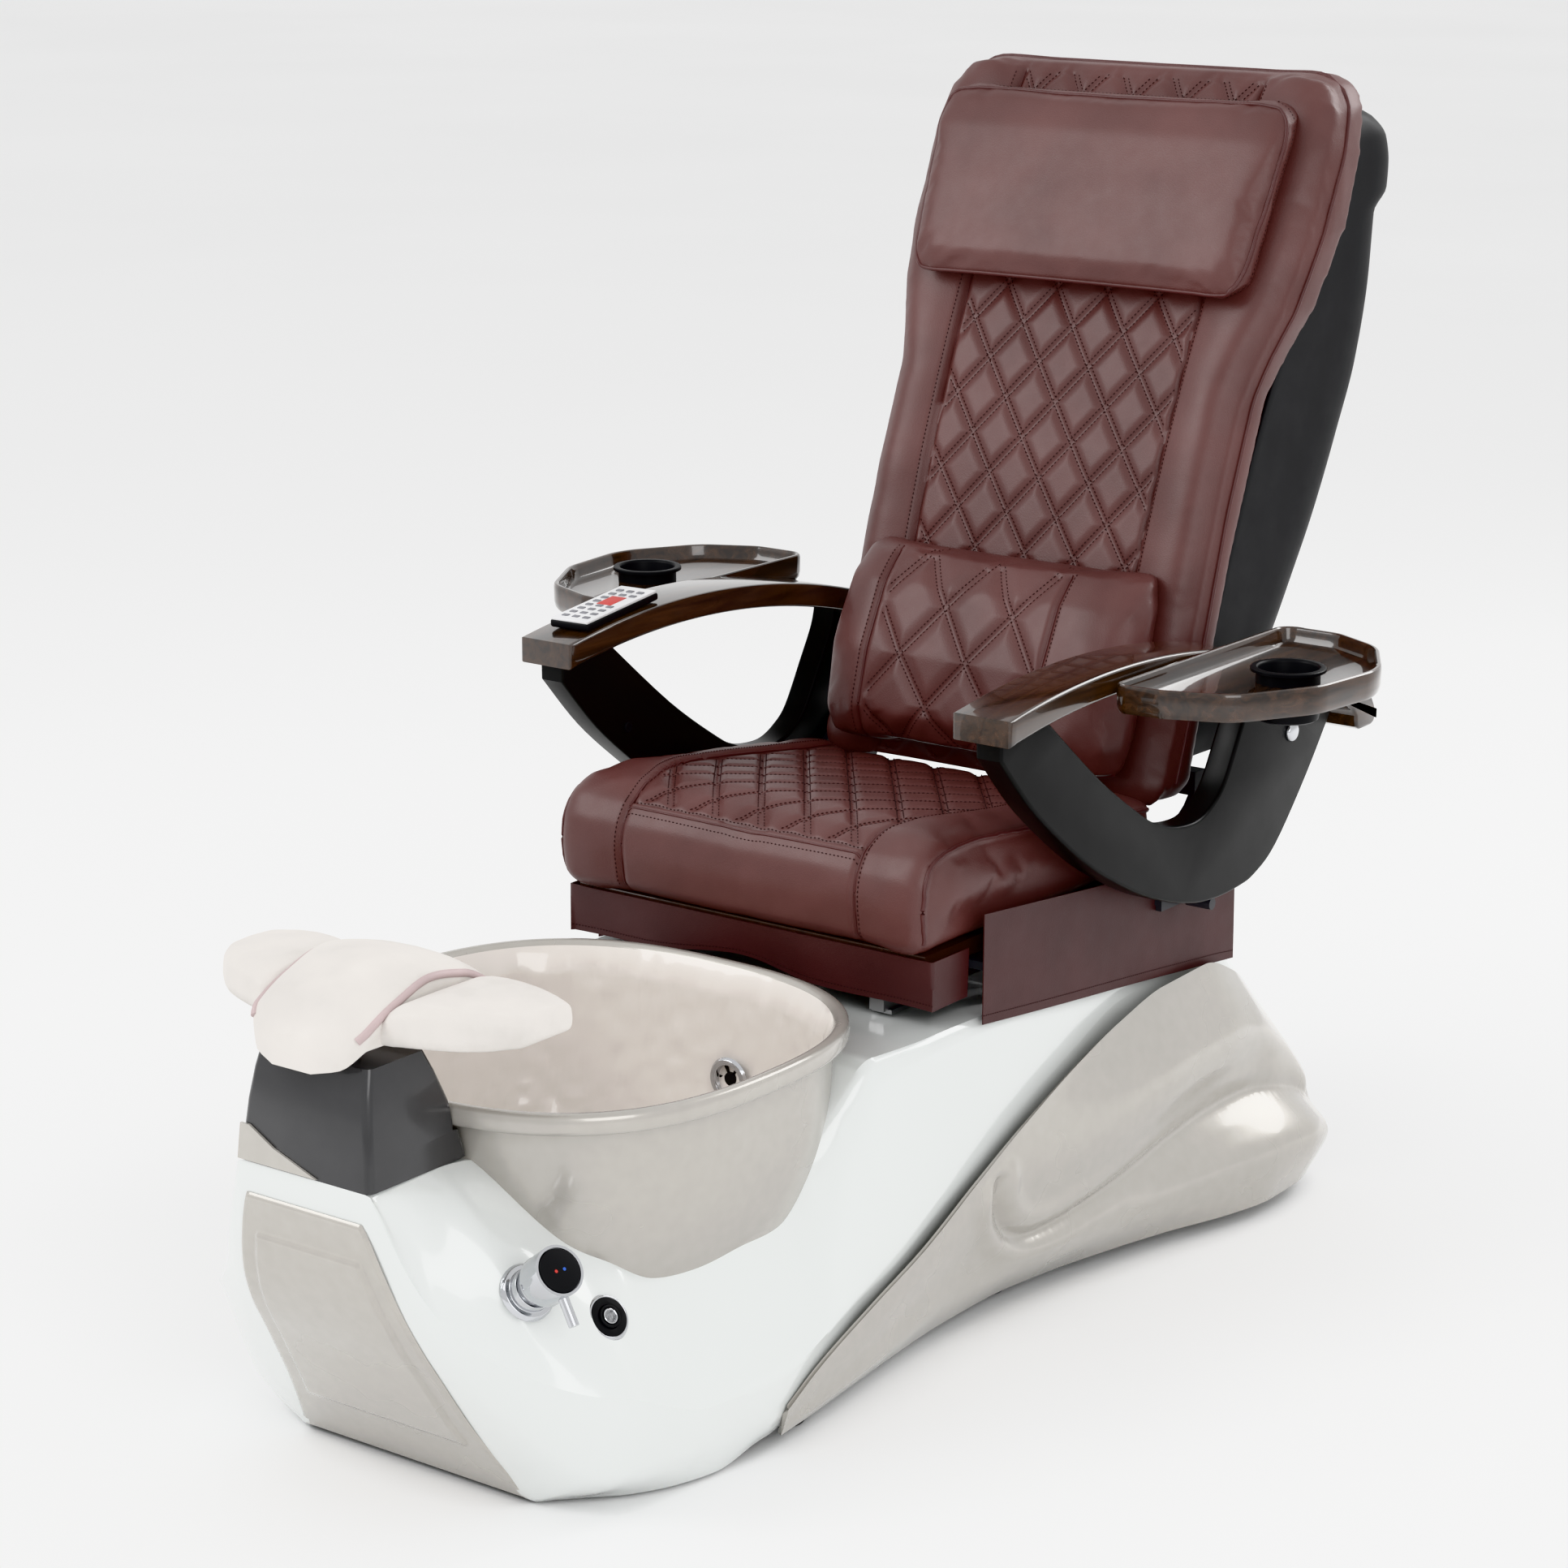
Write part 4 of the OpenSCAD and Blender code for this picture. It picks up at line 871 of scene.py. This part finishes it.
def make_seat():
    seat = soften("seat_cushion", 0.006, 0.001, 0.006)

    def shape(p, n):
        if n.z < 0.25 and n.y > -0.3:
            return 0.0
        facing = ease((max(n.z, -n.y) - 0.25) / 0.4)
        edge = min(seat_seam(p.y) - abs(p.x), p.y - SEAT_FRONT_Y)
        move = 0.0
        if edge > 0:
            d = lattice(p.x, p.y + 0.02, 0.066, 0.088)
            move += puff(d, 0.005, 0.013) * ease(edge / 0.012) - 0.002
        else:
            move += 0.004 * ease((abs(p.x) - SEAT_CORNER_X) / 0.05)
        if p.y > SEAT_FRONT_Y:
            move -= 0.004 * exp(-((seat_seam(p.y) - abs(p.x)) / 0.004) ** 2)
            if abs(p.x) < seat_seam(p.y):
                move -= 0.004 * exp(-((p.y - SEAT_FRONT_Y) / 0.004) ** 2)
        else:
            move -= 0.004 * exp(-((abs(p.x) - SEAT_CORNER_X) / 0.004) ** 2)
        return move * facing

    press(seat, shape)
    shade(seat, 80)
    place(seat, "seat", LEATHER, "leather_maroon", "seat_cushion", padded=0.8)
    tree = surface(seat)
    thread = Thread()

    def point(u, v):
        return onto(tree, (u, v - 0.02, 0.60), (0, 0, -1), 0.0004)

    def inside(u, v):
        y = v - 0.02
        return abs(u) < seat_seam(y) - 0.006 and y > SEAT_FRONT_Y + 0.006

    sew_lattice(thread, -0.21, 0.21, SEAT_FRONT_Y + 0.02, 0.34, 0.066, 0.088, inside, point)
    for sign in (-1, 1):
        ridge = [onto(tree, (sign * seat_seam(y), y, 0.60), (0, 0, -1))
                 for y in spread(SEAT_FRONT_Y, 0.325, 90)]
        down = [onto(tree, (sign * SEAT_CORNER_X, -0.16, z), (0, 1, 0)) for z in spread(0.586, 0.482, 30)]
        line = [p for p in down[::-1] + ridge if p is not None]
        place(tube("seat_seam_%s" % ("left" if sign > 0 else "right"), line, 0.0015), "seat", PIPING,
              "leather_maroon")
        beside = [onto(tree, (sign * (seat_seam(y) + 0.007), y, 0.60), (0, 0, -1), 0.0004)
                  for y in spread(SEAT_FRONT_Y, 0.325, 90)]
        lower = [onto(tree, (sign * (SEAT_CORNER_X + 0.007), -0.16, z), (0, 1, 0), 0.0004)
                 for z in spread(0.586, 0.482, 30)]
        thread.run(beside)
        thread.run(lower)
        side = [tree.find_nearest(Vector((sign * 0.263, y, z)))[0] for y, z in
                [(p[0] * MM, p[1] * MM) for p in catmull([(-148, 486), (-156, 530), (-140, 574), (-90, 589),
                                                          (0, 586),
                                                         (120, 571), (240, 554), (322, 542)], 10)]]
        place(tube("seat_piping_%s" % ("left" if sign > 0 else "right"), side, 0.0026), "seat", PIPING,
              "leather_maroon")
    across = [onto(tree, (x, SEAT_FRONT_Y - 0.004, 0.62), (0, 0, -1))
              for x in spread(-SEAT_CORNER_X, SEAT_CORNER_X, 60)]
    place(tube("seat_front_seam", [p for p in across if p is not None], 0.0014), "seat", PIPING,
          "leather_maroon")
    for off in (-0.009, 0.006):
        thread.run([onto(tree, (x, SEAT_FRONT_Y + off, 0.62), (0, 0, -1), 0.0004)
                    for x in spread(-SEAT_CORNER_X, SEAT_CORNER_X, 80)])
    thread.obj("seat_stitching", "seat")
    return seat


def make_headrest():
    pillow = soften("headrest_pillow", 0.005, 0.002, 0.006, rounds=8)
    round_corners(pillow, monotone([1.12, 1.24, 1.36], [0.252, 0.257, 0.262]), 1.124, 1.358, 0.060)
    place(pillow, "headrest", LEATHER, "leather_maroon", "headrest_pillow", padded=0.75)
    tree = surface(pillow)
    outline = [(-205, 1352), (0, 1354), (205, 1352), (240, 1342), (254, 1312), (252, 1240), (244, 1175),
               (230, 1142),
               (196, 1128), (0, 1125), (-196, 1128), (-230, 1142), (-244, 1175), (-252, 1240), (-254, 1312),
               (-240, 1342)]
    thread = Thread()
    for offset, is_pipe in ((-44, True), (-26, False)):
        path = []
        for x, z in catmull(outline, 8, closed=True):
            near = tree.find_nearest(Vector((x * 1.0, back_front(z) + offset, z)) * MM)[0]
            path.append(near)
        if is_pipe:
            place(tube("headrest_piping", path, 0.0027, closed=True), "headrest", PIPING, "leather_maroon")
        else:
            thread.run(path + path[:1])
    thread.obj("headrest_stitching", "headrest")
    return pillow


def make_lumbar():
    pillow = soften("lumbar_pillow", 0.005, 0.003, 0.008, rounds=8)
    pillow.data.transform(Matrix.Translation((0, -0.0035, 0)))
    wide, tall, end = 0.098, 0.118, 0.128

    def shape(p, n):
        if n.y > -0.2:
            return 0.0
        facing = ease((-n.y - 0.2) / 0.4)
        u = p.x - 0.004
        edge = end - abs(u + 0.020)
        move = 0.0
        if edge > 0:
            move = puff(lattice(u, p.z - 0.69, wide, tall), 0.0055, crown=0.020) * ease(edge / 0.015)
        else:
            move = 0.0035 * noise.noise(Vector((p.x * 26, p.z * 9, 7.0))) * ease((p.z - 0.70) / 0.1)
        move -= 0.005 * exp(-(edge / 0.0042) ** 2)
        return move * facing

    press(pillow, shape)
    shade(pillow, 80)
    place(pillow, "lumbar", LEATHER, "leather_maroon", "lumbar_pillow", padded=0.7)
    tree = surface(pillow)
    thread = Thread()

    def point(u, v):
        z = v + 0.69
        return onto(tree, (u + 0.004, (back_front(z / MM) - 60) * MM, z), (0, 1, 0), 0.0004)

    def inside(u, v):
        return abs(u + 0.020) < end - 0.008

    sew_lattice(thread, -0.16, 0.16, -0.115, 0.115, wide, tall, inside, point)
    for sign in (-1, 1):
        line = [point(sign * end - 0.020, v) for v in spread(-0.118, 0.116, 60)]
        place(tube("lumbar_seam_%s" % ("left" if sign > 0 else "right"), [p for p in line if p is not None],
                   0.0014),
              "lumbar", PIPING, "leather_maroon")
        thread.run([point(sign * (end + 0.007) - 0.020, v) for v in spread(-0.118, 0.116, 60)])
    thread.obj("lumbar_stitching", "lumbar")
    base = [tree.find_nearest(Vector((x, back_front(576) - 44, 572)) * MM)[0] for x in spread(-208, 216, 70)]
    place(tube("lumbar_piping", base, 0.0026), "lumbar", PIPING, "leather_maroon")
    return pillow


def sheet_piece(name, rings, body, node):
    obj = loft(name, rings, closed=False, caps=(False, False), sharp=80)
    modify(obj, "SOLIDIFY", thickness=0.0014, offset=0.0)
    shade(obj, 80)
    place(obj, body, SKIRT, "leather_maroon", node)
    return obj


def hem(name, body, path):
    thread = Thread()
    thread.run(path, 0.0045)
    thread.obj(name, body)


def make_skirts():
    """A hanging front skirt with a wavy hem and a flat flap on each side."""
    bottom = monotone([-262, -203, -154, -20, 96, 210, 262], [408, 408, 410, 424, 409, 408, 408])
    rings = []
    for t in spread(0, 1, 26):
        ring = []
        for s in spread(-334, 334, 190):
            x, y = max(min(s, 262), -262), -139 + max(abs(s) - 262, 0)
            wave = 7.0 * t * (sin(s / 34.0 + 1.2) * 0.55 + sin(s / 61.0) * 0.45)
            z = 466 + (bottom(x) - 466) * t
            if abs(s) > 262:
                x += wave * (0.3 if s > 0 else -0.3)
            ring.append(Vector((x, y + (wave + 3 * t if abs(s) <= 262 else 0), z)) * MM)
        rings.append(ring)
    sheet_piece("front_skirt_look", rings, "seat", "front_skirt")
    hem("front_skirt_hem", "seat", [p + Vector((0, -0.0009, 0)) for p in rings[-4]])
    for sign, node in ((1, "side_skirt_left"), (-1, "side_skirt_right")):
        low = monotone([-65, 485], [378, 320])
        high = monotone([-65, 294, 342, 440, 485], [508, 474, 470, 462, 440])
        rings = []
        for t in spread(0, 1, 26):
            ring = []
            for y in spread(-65, 485, 130):
                z = high(y) + (low(y) - high(y)) * t
                wave = 1.0 * t * sin(y / 70.0 + 0.6)
                ring.append(Vector((sign * (281.0 + wave), y, z)) * MM)
            rings.append(ring)
        sheet_piece(node + "_look", rings, "seat", node)
        hem(node + "_hem", "seat", [p + Vector((sign * 0.0009, 0, 0.0)) for p in rings[-3]])


def make_footrest():
    """Two foam lobes with the saddle draped across them."""
    for node in ("footrest_pad_left", "footrest_pad_right"):
        pad = copy_node(node)
        modify(pad, "REMESH", mode="VOXEL", voxel_size=0.003)
        modify(pad, "SMOOTH", factor=0.5, iterations=9)
        modify(pad, "SUBSURF", levels=1, render_levels=1)
        shade(pad, 80)
        place(pad, "footrest", FOAM, "foam_ivory", node, padded=1.0)
    section = rows_at([(y, [(w, low), (w, edge), (w * 0.6, top - 3), (0, top)]) for y, w, low, edge, top in [
        (-885, 26, 492, 512, 528), (-872, 60, 500, 522, 542), (-852, 76, 518, 540,
                                                               558), (-810, 77, 518, 560, 578),
        (-760, 77, 518, 574, 588), (-710, 77, 518, 566, 580), (-672, 72, 518, 548,
                                                               562), (-660, 60, 524, 540, 550)]])
    rings = []
    for y in spread(-885, -660, 60):
        low, edge, shoulder, top = section(y)
        arc = catmull([low, edge, shoulder, top], 6)
        ring = [(-x, z) for x, z in arc] + arc[-2::-1]
        rings.append([Vector((x, y, z)) * MM for x, z in ring])
    saddle = loft("footrest_saddle_look", rings, sharp=80)
    modify(saddle, "BEVEL", width=0.004, segments=3, limit_method="ANGLE", angle_limit=radians(50))
    shade(saddle, 50)
    place(saddle, "footrest", FOAM, "foam_ivory", "footrest_saddle", padded=1.0)
    # A darker tube along each side of the saddle's rim: painted shade where the top turns down to the sides.
    for sign in (-1, 1):
        edge = []
        for y in spread(-862, -672, 60):
            low, rim, _, _ = section(y)
            edge.append(Vector((sign * (rim[0] - 0.5), y, rim[1] - 2.0)) * MM)
        place(tube("saddle_painted_shade_%s" % ("left" if sign > 0 else "right"), edge, 0.0045), "footrest", FOAM_PAINTED_SHADE,
              "foam_ivory")


# ---------- arms and trays ----------
ARM_IN, ARM_OUT, ARM_THICK, ARC_Y, ARC_R, ARC_TOP = 272, 350, 30, 100, 1282, 770


def arm_top(y, drop=0.0):
    r = ARC_R - drop
    return ARC_TOP - ARC_R + sqrt(r * r - (y - ARC_Y) ** 2)


def make_arm(sign, name):
    side = "arm_l" if sign > 0 else "arm_r"
    top = [(y, arm_top(y)) for y in spread(-120, 694, 70)]
    rear = [(702, arm_top(700) - 9), (706, arm_top(700) - 24), (706, 600), (702, 588), (694, 585),
            (666, 585), (657, 590),
            (655, 600), (655, arm_top(655, ARM_THICK) - 6)]
    under = [(y, arm_top(y, ARM_THICK)) for y in spread(646, -120, 66)]
    outline = [(y * MM, z * MM) for y, z in top + rear + under]
    low, high = (ARM_IN, ARM_OUT) if sign > 0 else (-ARM_OUT, -ARM_IN)
    arm = slab("armrest_%s_look" % name, outline, low * MM, high * MM, 0.0045)
    place(arm, side, WALNUT, "walnut_lacquer", "armrest_" + name)
    outer = catmull([(-108, 700), (-44, 632), (30, 572), (88, 532), (140, 503), (191, 478), (240, 459),
                     (283, 446),
                     (326, 437), (369, 434), (412, 436), (450, 443), (500, 470), (572, 545), (636, 626)], 5)
    inner = catmull([(-26, 737), (97, 637), (193, 573), (226, 557), (257, 547), (290, 542), (319, 543),
                     (346, 554),
                     (372, 575), (405, 630), (428, 671), (436, 700)], 5)
    ring = [(-108, 735)] + outer + [(438, 740)] + inner[::-1] + [(-32, 745)]
    ring = [(y, min(z, arm_top(y, ARM_THICK) + 3)) for y, z in ring]
    low, high = (295, 330) if sign > 0 else (-330, -295)
    frame_piece = slab("arm_frame_%s_look" % name, [(y * MM, z * MM) for y, z in ring], low * MM, high * MM,
                       0.004)
    place(frame_piece, side, SATIN, "arm_black", "arm_frame_" + name)
    for k, (y, z) in enumerate([(12, 622), (190, 512)]):
        x = (294.6 if sign > 0 else -294.6)
        screw = lathe("arm_screw_%s_%d" % (name, k),
                      [(0, 0.2), (3.4, 0.2), (3.8, 1.2), (5.6, 1.4), (6.4, 0.9), (6.8, -0.5)],
                      (x, y, z), (-1 if sign > 0 else 1, 0, 0), 28)
        place(screw, side, BLACK, "arm_black")
    # Bracket and post of the tray.
    x0, x1 = (ARM_OUT - 2, 400) if sign > 0 else (-400, -ARM_OUT + 2)
    bracket = rounded_box("tray_bracket_" + name, (x0 * MM, 0.412, 0.704), (x1 * MM, 0.452, 0.715), 0.0025)
    place(bracket, side, SATIN, "arm_black")
    post = lathe("tray_post_" + name, [(0, 0), (6, 0), (6, 21), (5, 22), (0, 22)],
                 (sign * 378, 432, 714), (0, 0, 1), 32)
    place(post, side, CHROME, "arm_black")
    cap = lathe("pivot_cap_" + name, [(0, 5.2), (9.6, 5.2), (11, 4.6), (12.3, 2.6), (12.5, 0.4), (9, 0.2)],
                (sign * 330.2, 527, 608), (sign, 0, 0), 48)
    place(cap, "seat", CHROME, "chrome", *(["arm_pins"] if sign > 0 else []))


def lathe(name, profile, origin, axis, count=48):
    """profile: (radius, height) in millimetres, turned about an axis through origin."""
    turn = Vector((0, 0, 1)).rotation_difference(Vector(axis)).to_matrix()
    rings = []
    for r, h in profile:
        rings.append([(Vector(origin) + turn @ Vector((max(r, 0.02) * cos(a), max(r, 0.02) * sin(a), h))) * MM
                      for a in [2 * pi * k / count for k in range(count)]])
    return loft(name, rings, sharp=35)


TRAY_CIRCLES = [(378, 432, 24), (373, 90, 18), (410, 112, 36), (449, 160, 66), (466, 230, 86), (468, 300, 92),
                (450, 362, 76), (422, 410, 46)]
TRAY_TOP, TRAY_H = 758, 34
CUP_X, CUP_Y, CUP_R = 470, 268, 34.5


def tray_ring(inset, z, sign, count=220):
    """The hull of the circles, moved in by an inset, by its outward directions."""
    ring = []
    for k in range(count):
        a = 2 * pi * k / count
        n = (cos(a), sin(a))
        x, y, r = max(TRAY_CIRCLES, key=lambda c: c[0] * n[0] + c[1] * n[1] + c[2])
        ring.append(Vector((sign * (x + (r - inset) * n[0]), y + (r - inset) * n[1], z)) * MM)
    return ring


def make_tray(sign, name):
    body = "tray_l" if sign > 0 else "tray_r"
    base, top = TRAY_TOP - TRAY_H, TRAY_TOP
    profile = [(14, base + 4), (9, base), (4, base + 1), (1.2, base + 5), (0, base + 12), (0, top - 4),
               (0.8, top - 1.2),
               (2.4, top), (5.0, top), (6.6, top - 1.2), (8.2, top - 6), (9.4, top - 13), (11.6, top - 16.6),
               (15.0, top - 18)]
    tray = loft("tray_%s_look" % name, [tray_ring(g, z, sign) for g, z in profile], sharp=32)
    hole = lathe("cutter", [(CUP_R + 2.6, -60), (CUP_R + 2.6, 60)], (sign * CUP_X, CUP_Y, 740), (0, 0, 1), 96)
    cut(tray, hole)
    cut(tray, lathe("cutter", [(6.5, -20), (6.5, 19)], (sign * 378, 432, 718), (0, 0, 1), 48))
    shade(tray, 32)
    place(tray, body, WALNUT, "walnut_lacquer", "tray_" + name)
    cup = lathe("cup_holder_%s_look" % name, [
        (0, -62), (33, -62), (36, -60), (36.9, -56), (36.9, -5), (43.5, -4.4), (43.5, -1.4), (42.4, -0.3),
                                              (40.4, 0),
        (36.6, -0.2), (35.2, -1.4), (34.5, -3.4), (34.5, -55), (33, -58.4), (29, -59), (0, -59)],
        (sign * CUP_X, CUP_Y, TRAY_TOP), (0, 0, 1), 96)
    place(cup, body, BLACK, "black_plastic", "cup_holder_" + name)


def make_handset():
    at = Matrix.Translation(Vector((-309, -12, 765.6)) * MM)
    at = at @ Matrix.Rotation(radians(4), 4, "Z") @ Matrix.Rotation(radians(5), 4, "X")
    body = rounded_box("handset_body", (-0.028, -0.074, 0.0), (0.028, 0.074, 0.010), 0.0035, at)
    place(body, "remote", BLACK, "remote_dark", "remote_body")
    face = rounded_box("handset_face", (-0.0265, -0.0725, 0.0085), (0.0265, 0.0725, 0.0122), 0.0012, at)
    place(face, "remote", KEY_WHITE, "remote_white", "remote_face")
    display = rounded_box("handset_red_patch", (-0.009, -0.004, 0.0118), (0.012, 0.030, 0.0126), 0.0003, at)
    place(display, "remote", KEY_RED, "remote_white")
    for j in range(8):
        for i in (-1, 0, 1):
            x, y = i * 0.015, j * 0.016 - 0.058
            if abs(y - 0.013) < 0.02 and i > -1:
                continue
            key = rounded_box("handset_key_%d_%d" % (j, i + 1), (x - 0.0044, y - 0.0034, 0.0116),
                              (x + 0.0044, y + 0.0034, 0.0132), 0.0006, at, 2)
            place(key, "remote", KEY_GREY, "remote_white")


# ---------- back shell ----------
SHELL_ROWS = [(575, 232, 430, 566), (605, 237, 441, 590), (690, 242, 466, 652), (770, 246, 490, 700),
              (840, 248, 514, 742), (935, 250, 552, 790), (1025, 254, 592, 826), (1126, 258, 654, 846),
              (1208, 260, 695, 852), (1236, 260, 706, 882), (1268, 260, 718, 885), (1300, 258, 726, 880),
              (1326, 250, 735, 856), (1344, 232, 741, 816)]


def make_back_shell():
    heights = [r[0] for r in SHELL_ROWS]
    half, join_y, rear = [monotone(heights, [r[k] for r in SHELL_ROWS]) for k in (1, 2, 3)]
    rings = []
    for z in spread(575, 1344, 130):
        w, f, b = half(z), join_y(z), rear(z)
        arc = catmull([(w, f), (w, (f + b - 46) / 2), (w, b - 46), (w - 12, b - 18), (w - 44, b),
                       (w / 3, b)], 5)
        ring = [(x, y) for x, y in arc] + [(-x, y) for x, y in arc[::-1]]
        rings.append([Vector((x, y, z)) * MM for x, y in ring])
    shell = loft("back_shell_look", rings, closed=False, caps=(False, False), sharp=60)
    # Close the top and the foot with rounded lids.
    work = bmesh.new()
    work.from_mesh(shell.data)
    work.verts.ensure_lookup_table()
    n = len(rings[0])
    work.faces.new([work.verts[(len(rings) - 1) * n + i] for i in range(n)])
    work.faces.new([work.verts[i] for i in range(n - 1, -1, -1)])
    bmesh.ops.recalc_face_normals(work, faces=work.faces)
    work.to_mesh(shell.data)
    work.free()
    modify(shell, "SOLIDIFY", thickness=0.004, offset=-1.0)
    modify(shell, "BEVEL", width=0.006, segments=3, limit_method="ANGLE", angle_limit=radians(50))
    shade(shell, 45)
    return place(shell, "backrest", BLACK, "black_plastic", "back_shell")


# ---------- taps and the rest ----------
def carry_over():
    """Nodes whose CAD shape is right keep it, under a better material."""
    looks = {
        CHROME: ["bowl_drain", "drain_stopper", "jet_housing", "tap_plate", "tap_collar", "tap_head",
                 "switch_bezel",
                 "massage_rails"],
        BLACK: ["air_button", "tap_cap", "switch_ring", "jet_impeller", "rear_panel", "control_box",
                "discharge_pump", "seat_motor"],
        PAINTED: ["base_frame", "seat_frame", "arm_bracket", "back_frame", "massage_carriage"],
        STEEL: ["slide_rails", "footrest_post"], RUBBER: ["levelling_feet", "roller_lower", "roller_upper"],
        BRASS: ["inlets", "valve_body"], PIPE: ["waste_outlet", "drain_pipe"], PEARL: ["pedestal_trim"],
        PLYWOOD: ["seat_pan"]}
    slots = {row["node"]: row["material_slot"] for row in frame["record"]["subparts"]}
    bodies = {node: body for body, nodes in frame["record"]["behaviour"]["bodies"].items() for node in nodes}
    rounded = {"tap_plate": 0.0008, "tap_head": 0.0009, "tap_collar": 0.0006, "switch_bezel": 0.0007,
               "air_button": 0.0007, "tap_cap": 0.0006, "switch_ring": 0.0003, "rear_panel": 0.001,
               "levelling_feet": 0.0015, "jet_housing": 0.0008, "bowl_drain": 0.0008, "drain_stopper": 0.0008}
    for look, names in looks.items():
        for node in names:
            if node in rounded:
                place(refine(node, rounded[node]), bodies[node], look, slots[node], node)
            else:
                NODES[node].data.materials.clear()
                NODES[node].data.materials.append(look)


def make_tap_marks():
    """A red and a blue dot on the handle's round cap."""
    axis = (Matrix.Rotation(radians(-14), 3, "Z") @ Matrix.Rotation(radians(54), 3, "Y")) @ Vector((0, 0, 1))
    across = (Matrix.Rotation(radians(-14), 3, "Z") @ Matrix.Rotation(radians(54), 3,
                                                                      "Y")) @ Vector((0, 1, 0))
    base = Vector((197, -760, 260)) + axis * 75.3
    for name, off, look in (("mark_hot", -5, KEY_RED), ("mark_cold", 5, KEY_BLUE)):
        dot = lathe(name, [(0, 0.5), (1.4, 0.5), (1.8, 0.1), (1.8, -0.3)], tuple(base + across * off),
                    tuple(axis), 24)
        place(dot, "tap_handle", look, "black_plastic")


def make_button_ring():
    turn = Matrix.Rotation(radians(-10), 3, "Z") @ Matrix.Rotation(radians(54), 3, "Y")
    origin = Vector((232, -677, 213))
    back = turn.transposed()
    top = max((back @ (v.co / MM - origin)).z for v in NODES["air_button"].data.vertices)
    ring = lathe("button_ring", [(6.6, -0.4), (6.8, 0.5), (7.4, 0.8), (8.2, 0.5), (8.4, -0.4)],
                 tuple(origin + turn @ Vector((0, 0, top))), tuple(turn @ Vector((0, 0, 1))), 48)
    place(ring, "button", CHROME, "chrome")


# ---------- stage ----------
def make_stage():
    floor = make("floor", [(-45, -45, 0), (45, -45, 0), (45, 45, 0), (-45, 45, 0)], [(0, 1, 2, 3)])
    pale = material("pale_floor", (0.90, 0.90, 0.90), 0.8)
    tint(pale, (0.89, 0.89, 0.89), (0.91, 0.91, 0.91), 0.4)
    floor.data.materials.append(pale)
    world = bpy.data.worlds.new("studio")
    bpy.context.scene.world = world
    world.use_nodes = True
    world.node_tree.nodes["Background"].inputs["Color"].default_value = (1.0, 1.0, 1.0, 1)
    world.node_tree.nodes["Background"].inputs["Strength"].default_value = 0.95
    for name, spot, size, power in (("key", (-2.6, -3.2, 3.6), 2.6, 95.0),
                                    ("fill", (3.4, -2.4, 2.2), 2.2, 45.0),
                                    ("rim", (1.6, 3.2, 3.0), 2.0, 70.0)):
        light = bpy.data.objects.new(name, bpy.data.lights.new(name, "AREA"))
        bpy.context.scene.collection.objects.link(light)
        light.data.size, light.data.energy = size, power
        light.location = spot
        light.rotation_euler = (Vector((0, 0, 0.6)) - Vector(spot)).to_track_quat("-Z", "Y").to_euler()


make_base()
make_bowl()
make_pod(1, "side_panel_left")
make_pod(-1, "side_panel_right")
make_front_panel()
make_pedestal()
make_seat()
make_back()
make_headrest()
make_lumbar()
make_skirts()
make_footrest()
for sign, name in ((1, "left"), (-1, "right")):
    make_arm(sign, name)
    make_tray(sign, name)
make_handset()
make_back_shell()
carry_over()
make_tap_marks()
make_button_ring()
make_stage()

bpy.context.view_layer.update()
